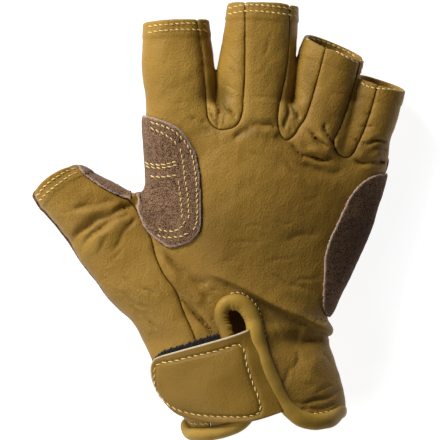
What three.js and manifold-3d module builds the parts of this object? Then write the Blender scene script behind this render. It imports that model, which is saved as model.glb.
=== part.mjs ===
// A fingerless leather climbing glove for the right hand, lying palm down with its wrist opening towards -Y.
// Millimetres: +X towards the little finger, +Y towards the fingertips, +Z out of the back of the hand.
import * as THREE from "three";
import { mergeVertices } from "three/addons/utils/BufferGeometryUtils.js";
import Module from "manifold-3d";

const wasm = await Module();
wasm.setup();

// Sizes of the hand part, from the wrist line
const palmLength = 77;
const cuffLength = 47;
const palmBreadth = 96;
const palmDepth = 31;

// Sizes of the fingers and the thumb
const indexLength = 42.4;
const indexWidth = 29;
const middleLength = 49;
const middleWidth = 30;
const ringLength = 32.1;
const ringWidth = 26;
const littleLength = 18;
const littleWidth = 21.5;
const fingerDepth = 23.5;
const thumbLength = 59.3;
const thumbWidth = 32;
const thumbDepth = 24;
const thumbTurn = 45;

// Leather, seams and hems
const leather = 1.4;
const suede = 1.3;
const gap = 0.3;
const hemWidth = 6.4;
const hemThickness = 0.5;
const seamShare = 0.27;

// Closing strap, its two fastening pieces and the rolled edging
const strapLength = 45.3;
const strapWidth = 33;
const strapThickness = 1.6;
const hookThickness = 1;
const loopThickness = 1;
const bindingWidth = 6.4;
const bindingHeight = 4.8;
const bindingLift = 0.7;

// Roundness of the sections: 2 is an ellipse, more is boxier; the back's arch as a share of the palm's depth
const palmArch = 0.07;
const palmRoundness = 2.15;
const fingerRoundness = 2.3;

// Fineness of the surfaces
const backSteps = 18;
const underSteps = 8;
const palmSteps = 28;
const fingerSteps = 5;
const fingerSides = 16;
const bindingSteps = 72;
const bindingSides = 7;

const restHeight = gap + suede;
const seamHeight = restHeight + palmDepth * seamShare;
const clear = 2 * palmDepth;
const openEnd = 4 * leather;
const turnUnit = Math.PI / 180;

// Palm and wrist sections from the wrist opening to the knuckles: rise in palm or cuff lengths from the wrist
// line, left and right in palm breadths, thick and base in palm depths, fall as the slope to the little finger
const palmTable = table(["rise", "left", "right", "thick", "base", "fall"], [
  [-1.149, -0.171, 0.475, 1.03, 0.06, 0],
  [-0.851, -0.192, 0.475, 1.03, 0.06, 0],
  [-0.723, -0.25, 0.477, 1.03, 0.04, 0],
  [-0.553, -0.296, 0.462, 1.02, 0.01, 0],
  [-0.34, -0.329, 0.429, 1, -0.02, 0],
  [-0.17, -0.369, 0.406, 0.96, -0.03, 0],
  [-0.077, -0.39, 0.425, 0.96, -0.03, 0],
  [0, -0.413, 0.404, 0.94, -0.03, 0],
  [0.068, -0.456, 0.425, 0.96, -0.05, 0],
  [0.156, -0.488, 0.458, 0.98, -0.05, 0],
  [0.286, -0.413, 0.506, 1, -0.05, 0.08],
  [0.442, -0.371, 0.564, 1, -0.05, 0.15],
  [0.597, -0.346, 0.604, 1, -0.05, 0.19],
  [0.675, -0.346, 0.625, 1, -0.05, 0.2],
  [0.738, -0.346, 0.637, 1, -0.05, 0.2],
  [0.805, -0.346, 0.648, 0.98, -0.05, 0.2],
  [0.883, -0.346, 0.65, 0.96, -0.05, 0.2],
  [0.982, -0.344, 0.638, 0.89, -0.01, 0.22],
  [1.078, -0.337, 0.629, 0.78, 0.06, 0.22],
  [1.176, -0.304, 0.604, 0.6, 0.2, 0.22],
]);

// Finger sections from root to tip: along in finger lengths past the crotch line, across in palm breadths,
// width in finger widths, turn in degrees, depth in finger depths, lift in palm depths, and lean as the slope
// of the opening: below zero, the back of its rim lies behind the rim underneath
const fingerColumns = ["along", "across", "width", "turn", "depth", "lift", "lean"];
const indexTable = table(fingerColumns, [
  [-0.5, -0.19, 0.75, 0, 0.8, 0.49, 0],
  [-0.024, -0.2, 1.021, 0, 1, 0.47, 0],
  [0.259, -0.206, 0.986, 1, 1, 0.455, 0],
  [0.514, -0.218, 1.018, 2, 1, 0.445, 0],
  [0.693, -0.223, 0.986, 2, 0.98, 0.43, 0],
  [1, -0.23, 0.895, 2.6, 0.97, 0.42, 0.06],
]);
const middleTable = table(fingerColumns, [
  [-0.4, 0.088, 0.75, 0, 0.8, 0.49, 0],
  [-0.02, 0.088, 0.987, 0, 1.02, 0.5, 0],
  [0.167, 0.094, 1.015, -1, 1.02, 0.49, 0],
  [0.298, 0.1, 1.03, -1, 1.02, 0.48, 0],
  [0.461, 0.105, 1.06, -2, 1.02, 0.465, 0],
  [0.649, 0.115, 1.005, -2, 1, 0.45, 0],
  [0.845, 0.127, 0.971, -2.3, 1, 0.44, 0.03],
  [1, 0.135, 0.925, -2.3, 0.98, 0.43, 0.08],
]);
const ringTable = table(fingerColumns, [
  [-0.6, 0.325, 0.75, 0, 0.8, 0.47, 0],
  [-0.069, 0.36, 0.923, -6, 0.97, 0.465, 0],
  [0.181, 0.379, 0.965, -9.6, 0.96, 0.45, 0],
  [0.449, 0.391, 1, -12.4, 0.95, 0.435, 0],
  [0.741, 0.407, 1.02, -17.6, 0.95, 0.42, -0.06],
  [1, 0.433, 0.97, -23, 0.94, 0.41, -0.18],
]);
const littleTable = table(fingerColumns, [
  [-1.5, 0.455, 0.75, 0, 0.65, 0.42, 0],
  [-0.833, 0.513, 1.079, -2, 0.84, 0.365, 0],
  [-0.211, 0.554, 0.995, -8, 0.84, 0.365, 0],
  [0.167, 0.578, 0.995, -13, 0.83, 0.36, 0],
  [0.633, 0.604, 0.986, -15, 0.82, 0.35, -0.1],
  [1, 0.625, 0.95, -17.8, 0.81, 0.345, -0.2],
]);

// Thumb sections from root to tip: along in thumb lengths, sway and width in thumb widths, turn in degrees,
// depth in thumb depths, lift in palm depths and lean as above; the root in palm breadths and palm lengths
const thumbRoot = { across: -0.296, rise: 0.182 };
const thumbTable = table(["along", "sway", "width", "turn", "depth", "lift", "lean"], [
  [-0.15, 0, 0.6, 0, 0.7, 0.45, 0],
  [0.05, 0, 0.95, 0, 0.92, 0.43, 0],
  [0.219, 0, 1.06, 0, 1, 0.42, 0],
  [0.42, 0.05, 1.12, 0, 1, 0.41, 0],
  [0.606, 0.045, 0.96, -2, 0.97, 0.4, 0],
  [0.773, 0.028, 0.82, -5, 0.94, 0.38, 0.03],
  [0.899, 0.004, 0.73, -8, 0.9, 0.365, 0.08],
  [1, -0.004, 0.62, -11.4, 0.88, 0.355, 0.12],
]);

// Folds and ridges in the back: centre in palm breadths and rise, half lengths in palm breadths, turn in degrees,
// height in palm depths
const foldTable = table(["across", "rise", "long", "wide", "turn", "height"], [
  [0.254, 0.01, 0.183, 0.037, -24, 0.052],
  [0.221, 0.109, 0.183, 0.037, -28, -0.042],
  [0.304, -0.153, 0.1, 0.033, 8, -0.035],
  [0.363, -0.391, 0.108, 0.125, 0, 0.029],
  [0.129, 1.004, 0.075, 0.029, 0, -0.026],
  [0.046, 0.966, 0.05, 0.029, 35, -0.019],
  [0.337, 0.868, 0.117, 0.033, -20, -0.039],
  [0.413, 0.904, 0.054, 0.029, -46, 0.026],
  [0.367, 0.784, 0.108, 0.042, -17, -0.032],
  [0.571, 0.826, 0.083, 0.033, -2, -0.029],
  [-0.546, 0.514, 0.15, 0.033, 35, -0.042],
  [-0.496, 0.457, 0.125, 0.033, 38, 0.023],
  [-0.567, 0.608, 0.117, 0.033, 3, -0.026],
  [-0.179, 0.27, 0.158, 0.037, -38, -0.029],
  [-0.129, 0.021, 0.133, 0.033, -48, -0.032],
  [0.288, 0.436, 0.092, 0.033, 12, -0.016],
]);

// Seam and edge lines seen from above: across in palm breadths, rise in palm, cuff or middle finger lengths
const indexMiddleSeam = line([
  [-0.144, 2.139], [-0.14, 1.837], [-0.129, 1.714], [-0.117, 1.535], [-0.108, 1.306],
  [-0.104, 1.127], [-0.088, 1.045], [-0.054, 0.992], [-0.008, 0.992], [0.029, 1.033],
  [0.046, 1.11], [0.058, 1.306], [0.065, 1.551], [0.06, 1.837], [0.058, 2.139],
]);
const middleRingSeam = line([
  [0.246, 2.139], [0.242, 1.918], [0.238, 1.592], [0.223, 1.347], [0.202, 1.184], [0.192, 1.061],
  [0.2, 0.982], [0.225, 0.94], [0.25, 0.945], [0.279, 0.992], [0.304, 1.11],
  [0.333, 1.265], [0.363, 1.437], [0.388, 1.592], [0.425, 1.878], [0.454, 2.139],
]);
const ringLittleSeam = line([
  [0.504, 1.878], [0.492, 1.429], [0.475, 1.224], [0.454, 1.078], [0.438, 0.977],
  [0.429, 0.909], [0.446, 0.868], [0.475, 0.847], [0.504, 0.855], [0.529, 0.894],
  [0.55, 0.961], [0.571, 1.102], [0.592, 1.241], [0.608, 1.347], [0.646, 1.633],
]);
const thumbSeam = line([
  [-0.963, 1.224], [-0.504, 0.779], [-0.404, 0.644], [-0.379, 0.545], [-0.346, 0.457],
  [-0.312, 0.374], [-0.275, 0.27], [-0.238, 0.156], [-0.196, 0.036], [-0.15, -0.153],
  [-0.117, -0.383], [-0.088, -0.681], [-0.071, -1.064], [-0.071, -1.4], [-0.963, -1.4],
]);
const indexSuedeEdge = line([
  [-0.4, 1.127], [-0.337, 1.118], [-0.283, 1.069], [-0.221, 0.987], [-0.171, 0.914], [-0.142, 0.831],
  [-0.129, 0.727], [-0.125, 0.597], [-0.138, 0.494], [-0.171, 0.41], [-0.229, 0.374], [-0.283, 0.39],
  [-0.337, 0.447], [-0.379, 0.519], [-0.394, 0.571], [-0.398, 0.629], [-0.429, 0.665],
]);
const littleSuedeEdge = line([
  [0.746, 0.79], [0.646, 0.774], [0.604, 0.753], [0.55, 0.686], [0.492, 0.561], [0.438, 0.4],
  [0.396, 0.249], [0.379, 0.145], [0.383, 0.042], [0.425, 0], [0.475, -0.043], [0.621, 0.104], [0.746, 0.519],
]);
const palmSuedeEdge = line([
  [-0.421, 1.127], [0, 0.971], [0.746, 0.79], [0.746, 0.01], [0.433, -0.017],
  [0.288, 0.104], [0.037, 0.301], [-0.229, 0.364], [-0.421, 0.561],
]);
const thumbStripEdge = line([
  [-0.671, 0.883], [-0.638, 0.79], [-0.623, 0.756], [-0.558, 0.696], [-0.505, 0.657],
  [-0.431, 0.627], [-0.394, 0.623], [-0.337, 0.727], [-0.546, 0.935],
]);
const thumbPalmEdge = line([
  [-0.921, 0.675], [-0.671, 0.987], [-0.337, 0.779], [-0.337, 0.436],
  [-0.246, 0.343], [-0.271, 0.104], [-0.463, -0.213], [-0.838, 0.26],
]);

// Middle line of the rolled edging: over the right cuff, round the keyhole slit, over the left cuff and
// back under the wrist, with its width in edging widths
const slitLine = table(["across", "rise", "width"], [
  [0.471, -0.774, 0.85], [0.433, -0.826, 0.95], [0.392, -0.847, 0.95], [0.342, -0.855, 0.95],
  [0.296, -0.834, 0.95], [0.25, -0.774, 0.85], [0.208, -0.672, 0.88], [0.169, -0.502, 0.9],
  [0.138, -0.349, 0.92], [0.117, -0.221, 0.95], [0.102, -0.111, 1], [0.092, 0, 1],
  [0.071, 0.052, 1], [0.044, 0.086, 1], [0.013, 0.096, 0.95], [-0.019, 0.086, 0.85],
  [-0.04, 0.052, 0.7], [-0.042, 0.005, 0.65], [-0.031, -0.085, 0.7], [-0.004, -0.221, 0.8],
  [0.029, -0.357, 0.8], [0.058, -0.511, 0.8], [0.079, -0.655, 0.8], [0.079, -0.757, 0.8],
  [0.058, -0.834, 0.8], [0.017, -0.898, 0.8], [-0.037, -0.936, 0.8], [-0.088, -0.957, 0.8],
  [-0.133, -0.962, 0.8], [-0.171, -0.945, 0.8], [-0.208, -0.911, 0.8],
]);
const underLine = table(["across", "rise", "width"], [
  [-0.208, -0.911, 0.8], [-0.15, -0.885, 0.8], [-0.067, -0.809, 0.8], [0.058, -0.732, 0.8],
  [0.183, -0.706, 0.8], [0.308, -0.706, 0.8], [0.413, -0.74, 0.82], [0.471, -0.774, 0.85],
]);

// Strap and fastening pieces from the free end to the slit: back and low edges in strap lengths and widths from
// the strap's root, stack as the share of the two fastening pieces that lies below
const strapRoot = { across: 0.133, rise: -0.424 };
const strapTable = table(["topAlong", "topSide", "lowAlong", "lowSide", "stack"], [
  [0.999, 0.046, 0.999, -0.015, 1],
  [0.989, 0.095, 0.989, -0.124, 1],
  [0.965, 0.143, 0.954, -0.269, 1],
  [0.908, 0.182, 0.874, -0.411, 1],
  [0.807, 0.223, 0.762, -0.536, 1],
  [0.669, 0.276, 0.634, -0.584, 1],
  [0.519, 0.331, 0.449, -0.625, 1],
  [0.378, 0.385, 0.237, -0.623, 1],
  [0.245, 0.44, 0.051, -0.588, 0.85],
  [0.113, 0.507, -0.187, -0.487, 0.1],
]);
const loopTable = table(["topAlong", "topSide", "lowAlong", "lowSide"], [
  [0.97, 0.119, 0.952, -0.124],
  [0.908, 0.228, 0.881, -0.318],
  [0.802, 0.295, 0.766, -0.39],
  [0.652, 0.349, 0.625, -0.463],
  [0.51, 0.398, 0.449, -0.499],
  [0.404, 0.422, 0.281, -0.475],
]);
const hookTable = table(["topAlong", "topSide", "lowAlong", "lowSide"], [
  [0.925, 0.082, 0.908, -0.184],
  [0.802, 0.167, 0.766, -0.342],
  [0.652, 0.216, 0.616, -0.463],
  [0.51, 0.264, 0.466, -0.499],
  [0.422, 0.288, 0.298, -0.475],
]);
const strapStrips = 6;

// Rows of numbers as objects with named columns
function table(columns, rows) {
  return rows.map((row) => Object.fromEntries(columns.map((column, i) => [column, row[i]])));
}

function line(rows) {
  return table(["across", "rise"], rows);
}

// The row of a table at a value of one column, mixed from the two rows around it
function rowAt(rows, column, value) {
  const found = rows.findIndex((row) => row[column] >= value);
  const next = found < 0 ? rows.length - 1 : Math.max(found, 1);
  const a = rows[next - 1];
  const b = rows[next];
  const share = THREE.MathUtils.clamp((value - a[column]) / (b[column] - a[column]), 0, 1);
  return Object.fromEntries(Object.keys(a).map((key) => [key, THREE.MathUtils.lerp(a[key], b[key], share)]));
}

function yOf(rise) {
  if (rise > 1) return palmLength + middleLength * (rise - 1);
  return rise < 0 ? cuffLength * rise : palmLength * rise;
}

function riseOf(y) {
  if (y > palmLength) return 1 + (y - palmLength) / middleLength;
  return y < 0 ? y / cuffLength : y / palmLength;
}

// A cosine or sine bent so that a circle becomes a rounded box
function bent(value, roundness) {
  return Math.sign(value) * Math.abs(value) ** (2 / roundness);
}

// Height that the folds add at a place seen from above
function foldHeight(x, y) {
  let height = 0;
  for (const fold of foldTable) {
    const turn = fold.turn * turnUnit;
    const dx = x - fold.across * palmBreadth;
    const dy = y - yOf(fold.rise);
    const along = (dx * Math.cos(turn) + dy * Math.sin(turn)) / (fold.long * palmBreadth);
    const beside = (dy * Math.cos(turn) - dx * Math.sin(turn)) / (fold.wide * palmBreadth);
    height += fold.height * palmDepth * Math.exp(-along * along - beside * beside);
  }
  return height;
}

// A point of the palm's surface moved out by offset: turn goes round the section from the little finger side
function palmPoint(turn, y, offset) {
  const row = rowAt(palmTable, "rise", riseOf(y));
  const left = row.left * palmBreadth - offset;
  const right = row.right * palmBreadth + offset;
  const low = restHeight + row.base * palmDepth - offset;
  const high = low + row.thick * palmDepth + 2 * offset;
  const across = bent(Math.cos(turn), palmRoundness);
  const up = bent(Math.sin(turn), palmRoundness);
  const x = (left + right) / 2 + ((right - left) / 2) * across;
  const depth = (high - low) * (1 - row.fall * Math.max(across, 0)) * (1 + palmArch * (1 - across * across));
  const level = (depth / 2) * (1 + up);
  const z = low + level + foldHeight(x, y) * Math.max(Math.sin(turn), 0);
  return new THREE.Vector3(x, y, Math.max(z, restHeight - offset));
}

// The turn of the palm's surface, on its back, that lies at x
function turnAt(x, y, offset) {
  const row = rowAt(palmTable, "rise", riseOf(y));
  const middle = ((row.left + row.right) / 2) * palmBreadth;
  const half = ((row.right - row.left) / 2) * palmBreadth + offset;
  const share = THREE.MathUtils.clamp((x - middle) / half, -0.999, 0.999);
  return Math.acos(Math.sign(share) * Math.abs(share) ** (palmRoundness / 2));
}

// A manifold solid from a closed three.js geometry
function solidOf(geometry) {
  geometry.deleteAttribute("normal");
  geometry.deleteAttribute("uv");
  const merged = mergeVertices(geometry, 1e-4);
  const mesh = { numProp: 3, vertProperties: merged.attributes.position.array, triVerts: merged.index.array };
  return new wasm.Manifold(new wasm.Mesh(mesh));
}

// A closed solid through rings of points, either capped at both ends or closed on itself
function loft(rings, closed) {
  const sides = rings[0].length;
  const points = rings.flat();
  const faces = [];
  const spans = closed ? rings.length : rings.length - 1;
  for (let i = 0; i < spans; i++) {
    for (let j = 0; j < sides; j++) {
      const a = i * sides + j;
      const b = i * sides + ((j + 1) % sides);
      const c = ((i + 1) % rings.length) * sides + ((j + 1) % sides);
      const d = ((i + 1) % rings.length) * sides + j;
      faces.push(a, d, c, a, c, b);
    }
  }
  if (!closed) {
    addCap(points, faces, rings[0], 0, false);
    addCap(points, faces, rings.at(-1), (rings.length - 1) * sides, true);
  }
  return solidOf(geometryOf(points, faces));
}

function addCap(points, faces, ring, start, last) {
  const middle = points.length;
  points.push(ring.reduce((sum, point) => sum.add(point), new THREE.Vector3()).divideScalar(ring.length));
  for (let j = 0; j < ring.length; j++) {
    const a = start + j;
    const b = start + ((j + 1) % ring.length);
    faces.push(middle, last ? b : a, last ? a : b);
  }
}

function geometryOf(points, faces) {
  const geometry = new THREE.BufferGeometry().setFromPoints(points);
  geometry.setIndex(faces);
  return geometry;
}

// The palm with its wrist, moved out by offset; what hollows it runs on past the wrist opening
function palmSolid(offset, hollows) {
  const first = yOf(palmTable[0].rise);
  const last = yOf(palmTable.at(-1).rise);
  const turns = [];
  for (let j = 0; j < backSteps; j++) turns.push((Math.PI * j) / backSteps);
  for (let j = 0; j < underSteps; j++) turns.push(Math.PI + (Math.PI * j) / underSteps);
  const places = [];
  if (hollows) places.push(first - openEnd);
  for (let i = 0; i < palmSteps; i++) places.push(THREE.MathUtils.lerp(first, last, i / palmSteps));
  places.push(last + offset);
  return loft(places.map((y) => turns.map((turn) => palmPoint(turn, y, offset))), false);
}

// Sections of a finger or the thumb with their places in millimetres
function fingerRows(rows, length, width) {
  return rows.map((row) => ({
    along: row.along * length,
    x: row.across * palmBreadth,
    y: palmLength + row.along * length,
    z: restHeight + row.lift * palmDepth,
    turn: row.turn * turnUnit,
    halfWidth: (row.width * width) / 2,
    halfDepth: (row.depth * fingerDepth) / 2,
    lean: row.lean,
  }));
}

function thumbRows() {
  const spread = thumbTurn * turnUnit;
  return thumbTable.map((row) => {
    const along = row.along * thumbLength;
    const sway = row.sway * thumbWidth;
    return {
      along,
      x: thumbRoot.across * palmBreadth - along * Math.sin(spread) + sway * Math.cos(spread),
      y: yOf(thumbRoot.rise) + along * Math.cos(spread) + sway * Math.sin(spread),
      z: restHeight + row.lift * palmDepth,
      turn: row.turn * turnUnit + spread,
      halfWidth: (row.width * thumbWidth) / 2,
      halfDepth: (row.depth * thumbDepth) / 2,
      lean: row.lean,
    };
  });
}

// One ring of a finger: a rounded box across its own direction, flattened where it would meet the floor
function fingerRing(row, offset, thick, shift) {
  const out = offset + thick;
  const ring = [];
  for (let j = 0; j < fingerSides; j++) {
    const turn = (2 * Math.PI * j) / fingerSides;
    const across = bent(Math.cos(turn), fingerRoundness) * (row.halfWidth + out);
    const up = bent(Math.sin(turn), fingerRoundness) * (row.halfDepth + out);
    const ahead = shift + up * row.lean;
    const x = row.x + across * Math.cos(row.turn) - ahead * Math.sin(row.turn);
    const y = row.y + across * Math.sin(row.turn) + ahead * Math.cos(row.turn);
    const fold = foldHeight(x, y) * Math.max(Math.sin(turn), 0);
    const z = row.z + up + fold;
    ring.push(new THREE.Vector3(x, y, Math.max(z, restHeight - offset)));
  }
  return ring;
}

// A finger or thumb moved out by offset, with its folded hem; what hollows it runs on past the opening
function fingerSolid(rows, offset, hollows) {
  const first = rows[0].along;
  const last = rows.at(-1).along;
  const hem = last - hemWidth;
  const rings = [];
  for (let i = 0; i <= fingerSteps; i++) {
    const along = THREE.MathUtils.lerp(first, hem, i / fingerSteps);
    rings.push(fingerRing(rowAt(rows, "along", along), offset, 0, 0));
  }
  const thick = offset < 0 ? 0 : hemThickness;
  rings.push(fingerRing(rowAt(rows, "along", hem + hemThickness), offset, thick, 0));
  rings.push(fingerRing(rows.at(-1), offset, thick, 0));
  if (hollows) rings.push(fingerRing(rows.at(-1), offset, thick, openEnd));
  return loft(rings, false);
}

// The whole hand as one filled body, moved out by offset
function handSolid(offset, hollows) {
  const fingers = [
    fingerRows(indexTable, indexLength, indexWidth),
    fingerRows(middleTable, middleLength, middleWidth),
    fingerRows(ringTable, ringLength, ringWidth),
    fingerRows(littleTable, littleLength, littleWidth),
    thumbRows(),
  ];
  return fingers.reduce((hand, rows) => hand.add(fingerSolid(rows, offset, hollows)), palmSolid(offset, hollows));
}

// A line's places in millimetres, moved out by distance and turned counterclockwise
function outlineOf(rows, distance) {
  const points = rows.map((row) => new THREE.Vector2(row.across * palmBreadth, yOf(row.rise)));
  if (THREE.ShapeUtils.isClockWise(points)) points.reverse();
  return points.map((point, i) => {
    const before = points[(i + points.length - 1) % points.length];
    const after = points[(i + 1) % points.length];
    const out = outward(before, point).add(outward(point, after)).normalize();
    const sharp = Math.max(out.dot(outward(point, after)), 0.5);
    return point.clone().addScaledVector(out, distance / sharp);
  });
}

function outward(from, to) {
  return new THREE.Vector2(to.y - from.y, from.x - to.x).normalize();
}

// An upright block on an outline between two heights
function blockOn(points, low, high) {
  const geometry = new THREE.ExtrudeGeometry(new THREE.Shape(points), { depth: high - low, bevelEnabled: false });
  geometry.translate(0, 0, low);
  return solidOf(geometry);
}

function block(rows, distance, low = -clear, high = clear) {
  return blockOn(outlineOf(rows, distance), low, high);
}

// Everything between two heights
function layer(low, high) {
  const side = palmLength + cuffLength + middleLength + thumbLength;
  const geometry = new THREE.BoxGeometry(2 * side, 2 * side, high - low);
  geometry.translate(0, 0, (low + high) / 2);
  return solidOf(geometry);
}

function largest(solid) {
  return solid.decompose().sort((a, b) => b.volume() - a.volume())[0];
}

// Middle line of the rolled edging on the leather: each place with its direction out of the hand
function bindingPlaces() {
  const lift = bindingLift - leather / 2;
  const places = slitLine.map((row) => ({ ...row, under: false }));
  places.push({ ...underLine[0], across: palmTable[0].left - 1, under: false });
  underLine.slice(1, -1).forEach((row) => places.push({ ...row, under: true }));
  places.push({ ...slitLine[0], across: palmTable[0].right + 1, under: false });
  return places.map((row) => {
    const y = yOf(row.rise);
    const back = turnAt(row.across * palmBreadth, y, 0);
    const turn = row.under ? -back : back;
    const point = palmPoint(turn, y, lift);
    const out = palmPoint(turn, y, lift + leather).sub(point).normalize();
    return { point, out, half: (row.width * bindingWidth) / 2 };
  });
}

// The rolled edging as an oval swept round its middle line, moved out by offset
function bindingSolid(offset) {
  const places = bindingPlaces();
  const path = new THREE.CatmullRomCurve3(places.map((place) => place.point), true, "centripetal");
  const outs = new THREE.CatmullRomCurve3(places.map((place) => place.out), true);
  const lengths = arcShares(places.map((place) => place.point));
  const rings = [];
  for (let i = 0; i < bindingSteps; i++) {
    const t = paramAt(lengths, i / bindingSteps);
    const point = path.getPoint(t);
    const along = path.getTangent(t);
    const out = outs.getPoint(t);
    const before = places[Math.floor(t * places.length)];
    const after = places[Math.ceil(t * places.length) % places.length];
    const half = THREE.MathUtils.lerp(before.half, after.half, (t * places.length) % 1);
    out.addScaledVector(along, -out.dot(along)).normalize();
    const side = new THREE.Vector3().crossVectors(along, out);
    const ring = [];
    for (let j = 0; j < bindingSides; j++) {
      const turn = (2 * Math.PI * j) / bindingSides;
      const across = (half + offset) * Math.cos(turn);
      const up = (bindingHeight / 2 + offset) * Math.sin(turn);
      ring.push(point.clone().addScaledVector(side, across).addScaledVector(out, up));
    }
    rings.push(ring);
  }
  return loft(rings, true);
}

// Distance along a closed line of points at each point, as shares of the whole
function arcShares(points) {
  const sums = [0];
  points.forEach((point, i) => sums.push(sums[i] + point.distanceTo(points[(i + 1) % points.length])));
  return sums.map((sum) => sum / sums.at(-1));
}

// The curve's own parameter at a share of its length
function paramAt(shares, share) {
  const next = Math.max(shares.findIndex((value) => value > share), 1);
  const part = (share - shares[next - 1]) / (shares[next] - shares[next - 1]);
  return (next - 1 + part) / (shares.length - 1);
}

// The leather shell: the hand made hollow, cut open inside the edging's middle line and clear of the edging
function shellSolid(hand) {
  const cuff = palmTable[0];
  const middle = restHeight + (cuff.base + cuff.thick / 2) * palmDepth;
  const below = 2 * yOf(palmTable[0].rise);
  const outside = [
    new THREE.Vector2(-palmBreadth, below),
    new THREE.Vector2(palmBreadth, below),
  ];
  const backCut = [...outside, ...edgePoints([...slitLine].reverse()).reverse()];
  const underCut = [...outside, ...edgePoints(underLine).reverse()];
  return hand
    .subtract(handSolid(-leather, true))
    .subtract(blockOn(backCut, middle, clear))
    .subtract(blockOn(underCut, -clear, middle))
    .subtract(bindingSolid(gap));
}

// An edge line from left to right in millimetres, run on level past both sides of the hand
function edgePoints(rows) {
  const points = rows.map((row) => new THREE.Vector2(row.across * palmBreadth, yOf(row.rise)));
  const left = new THREE.Vector2(-palmBreadth, points[0].y);
  const right = new THREE.Vector2(palmBreadth, points.at(-1).y);
  return [left, ...points, right];
}

// A sheet of leather or fabric laid over the wrist at a height above the leather, given at each row
function sheetSolid(rows, strips, low, thickness) {
  const grids = [low, low.map((value) => value + thickness)].map((offsets) =>
    rows.map((row, i) => sheetRow(row, strips, low[i] + thickness, offsets[i])),
  );
  const count = strips + 1;
  const points = [...grids[0].flat(), ...grids[1].flat()];
  const upper = rows.length * count;
  const faces = [];
  for (let i = 0; i < rows.length - 1; i++) {
    for (let j = 0; j < strips; j++) {
      const a = i * count + j;
      const b = a + count;
      faces.push(a, a + 1, b + 1, a, b + 1, b);
      faces.push(upper + a, upper + b, upper + b + 1, upper + a, upper + b + 1, upper + a + 1);
    }
  }
  const rim = [];
  for (let i = 0; i < rows.length; i++) rim.push(i * count);
  for (let j = 1; j <= strips; j++) rim.push((rows.length - 1) * count + j);
  for (let i = rows.length - 2; i >= 0; i--) rim.push(i * count + strips);
  for (let j = strips - 1; j > 0; j--) rim.push(j);
  rim.forEach((a, i) => {
    const b = rim[(i + 1) % rim.length];
    faces.push(a, b, upper + b, a, upper + b, upper + a);
  });
  return solidOf(geometryOf(points, faces));
}

// The places of one sheet row from its low edge to its back edge; seen from above they lie where the top face is
function sheetRow(row, strips, topOffset, offset) {
  const rootX = strapRoot.across * palmBreadth;
  const rootY = yOf(strapRoot.rise);
  const places = [];
  for (let j = 0; j <= strips; j++) {
    const share = j / strips;
    const x = rootX - strapLength * THREE.MathUtils.lerp(row.lowAlong, row.topAlong, share);
    const y = rootY + strapWidth * THREE.MathUtils.lerp(row.lowSide, row.topSide, share);
    places.push(palmPoint(turnAt(x, y, topOffset), y, offset));
  }
  return places;
}

function strapSolid() {
  const stack = loopThickness + gap + hookThickness + gap;
  const low = strapTable.map((row) => gap + row.stack * stack);
  return largest(sheetSolid(strapTable, strapStrips, low, strapThickness).subtract(bindingSolid(gap)));
}

function loopSolid(spaced) {
  const low = loopTable.map(() => gap);
  const sheet = sheetSolid(loopTable, strapStrips, low, loopThickness);
  return largest(sheet.subtract(bindingSolid(gap)).subtract(spaced));
}

function hookSolid() {
  const low = hookTable.map(() => gap + loopThickness + gap);
  return largest(sheetSolid(hookTable, strapStrips, low, hookThickness).subtract(bindingSolid(gap)));
}

function palmSuedeSolid(cover) {
  const sides = block(indexSuedeEdge, 0, seamHeight, clear).add(block(littleSuedeEdge, 0, seamHeight, clear));
  const under = block(palmSuedeEdge, 0, -clear, seamHeight);
  return largest(cover.intersect(sides.add(under)));
}

function thumbSuedeSolid(cover) {
  const strip = block(thumbStripEdge, 0, seamHeight, clear);
  const under = block(thumbPalmEdge, 0, -clear, seamHeight);
  const beside = block(indexSuedeEdge, 3 * gap).add(block(palmSuedeEdge, 3 * gap));
  return largest(cover.intersect(strip.add(under)).subtract(beside));
}

const gussetSeams = [indexMiddleSeam, middleRingSeam, ringLittleSeam];

function gussetSolid(shell, seam) {
  return largest(shell.intersect(block(seam, -gap / 2, seamHeight + gap / 2, clear)));
}

function thumbSolid(shell) {
  return largest(shell.intersect(block(thumbSeam, -gap / 2)));
}

function backSolid(shell) {
  const above = layer(seamHeight + gap / 2, clear);
  const open = gussetSeams.reduce((rest, seam) => rest.subtract(block(seam, gap / 2)), shell.intersect(above));
  return largest(open.subtract(block(thumbSeam, gap / 2)));
}

function underSolid(shell) {
  const below = layer(-clear, seamHeight - gap / 2);
  return largest(shell.intersect(below).subtract(block(thumbSeam, gap / 2)));
}

// Looks
const tanLeather = new THREE.MeshStandardMaterial({ color: 0xa8854a, roughness: 0.55, metalness: 0 });
const brownSuede = new THREE.MeshStandardMaterial({ color: 0x6b4a2b, roughness: 0.9, metalness: 0 });
const blackFabric = new THREE.MeshStandardMaterial({ color: 0x15151a, roughness: 0.95, metalness: 0 });

const glove = new THREE.Group();
const placed = new THREE.Group();
glove.add(placed);

function addPiece(name, solid, look) {
  const mesh = solid.getMesh();
  const geometry = new THREE.BufferGeometry();
  geometry.setAttribute("position", new THREE.BufferAttribute(new Float32Array(mesh.vertProperties), 3));
  geometry.setIndex(new THREE.BufferAttribute(new Uint32Array(mesh.triVerts), 1));
  geometry.computeVertexNormals();
  const piece = new THREE.Mesh(geometry, look);
  piece.name = name;
  placed.add(piece);
}

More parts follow.
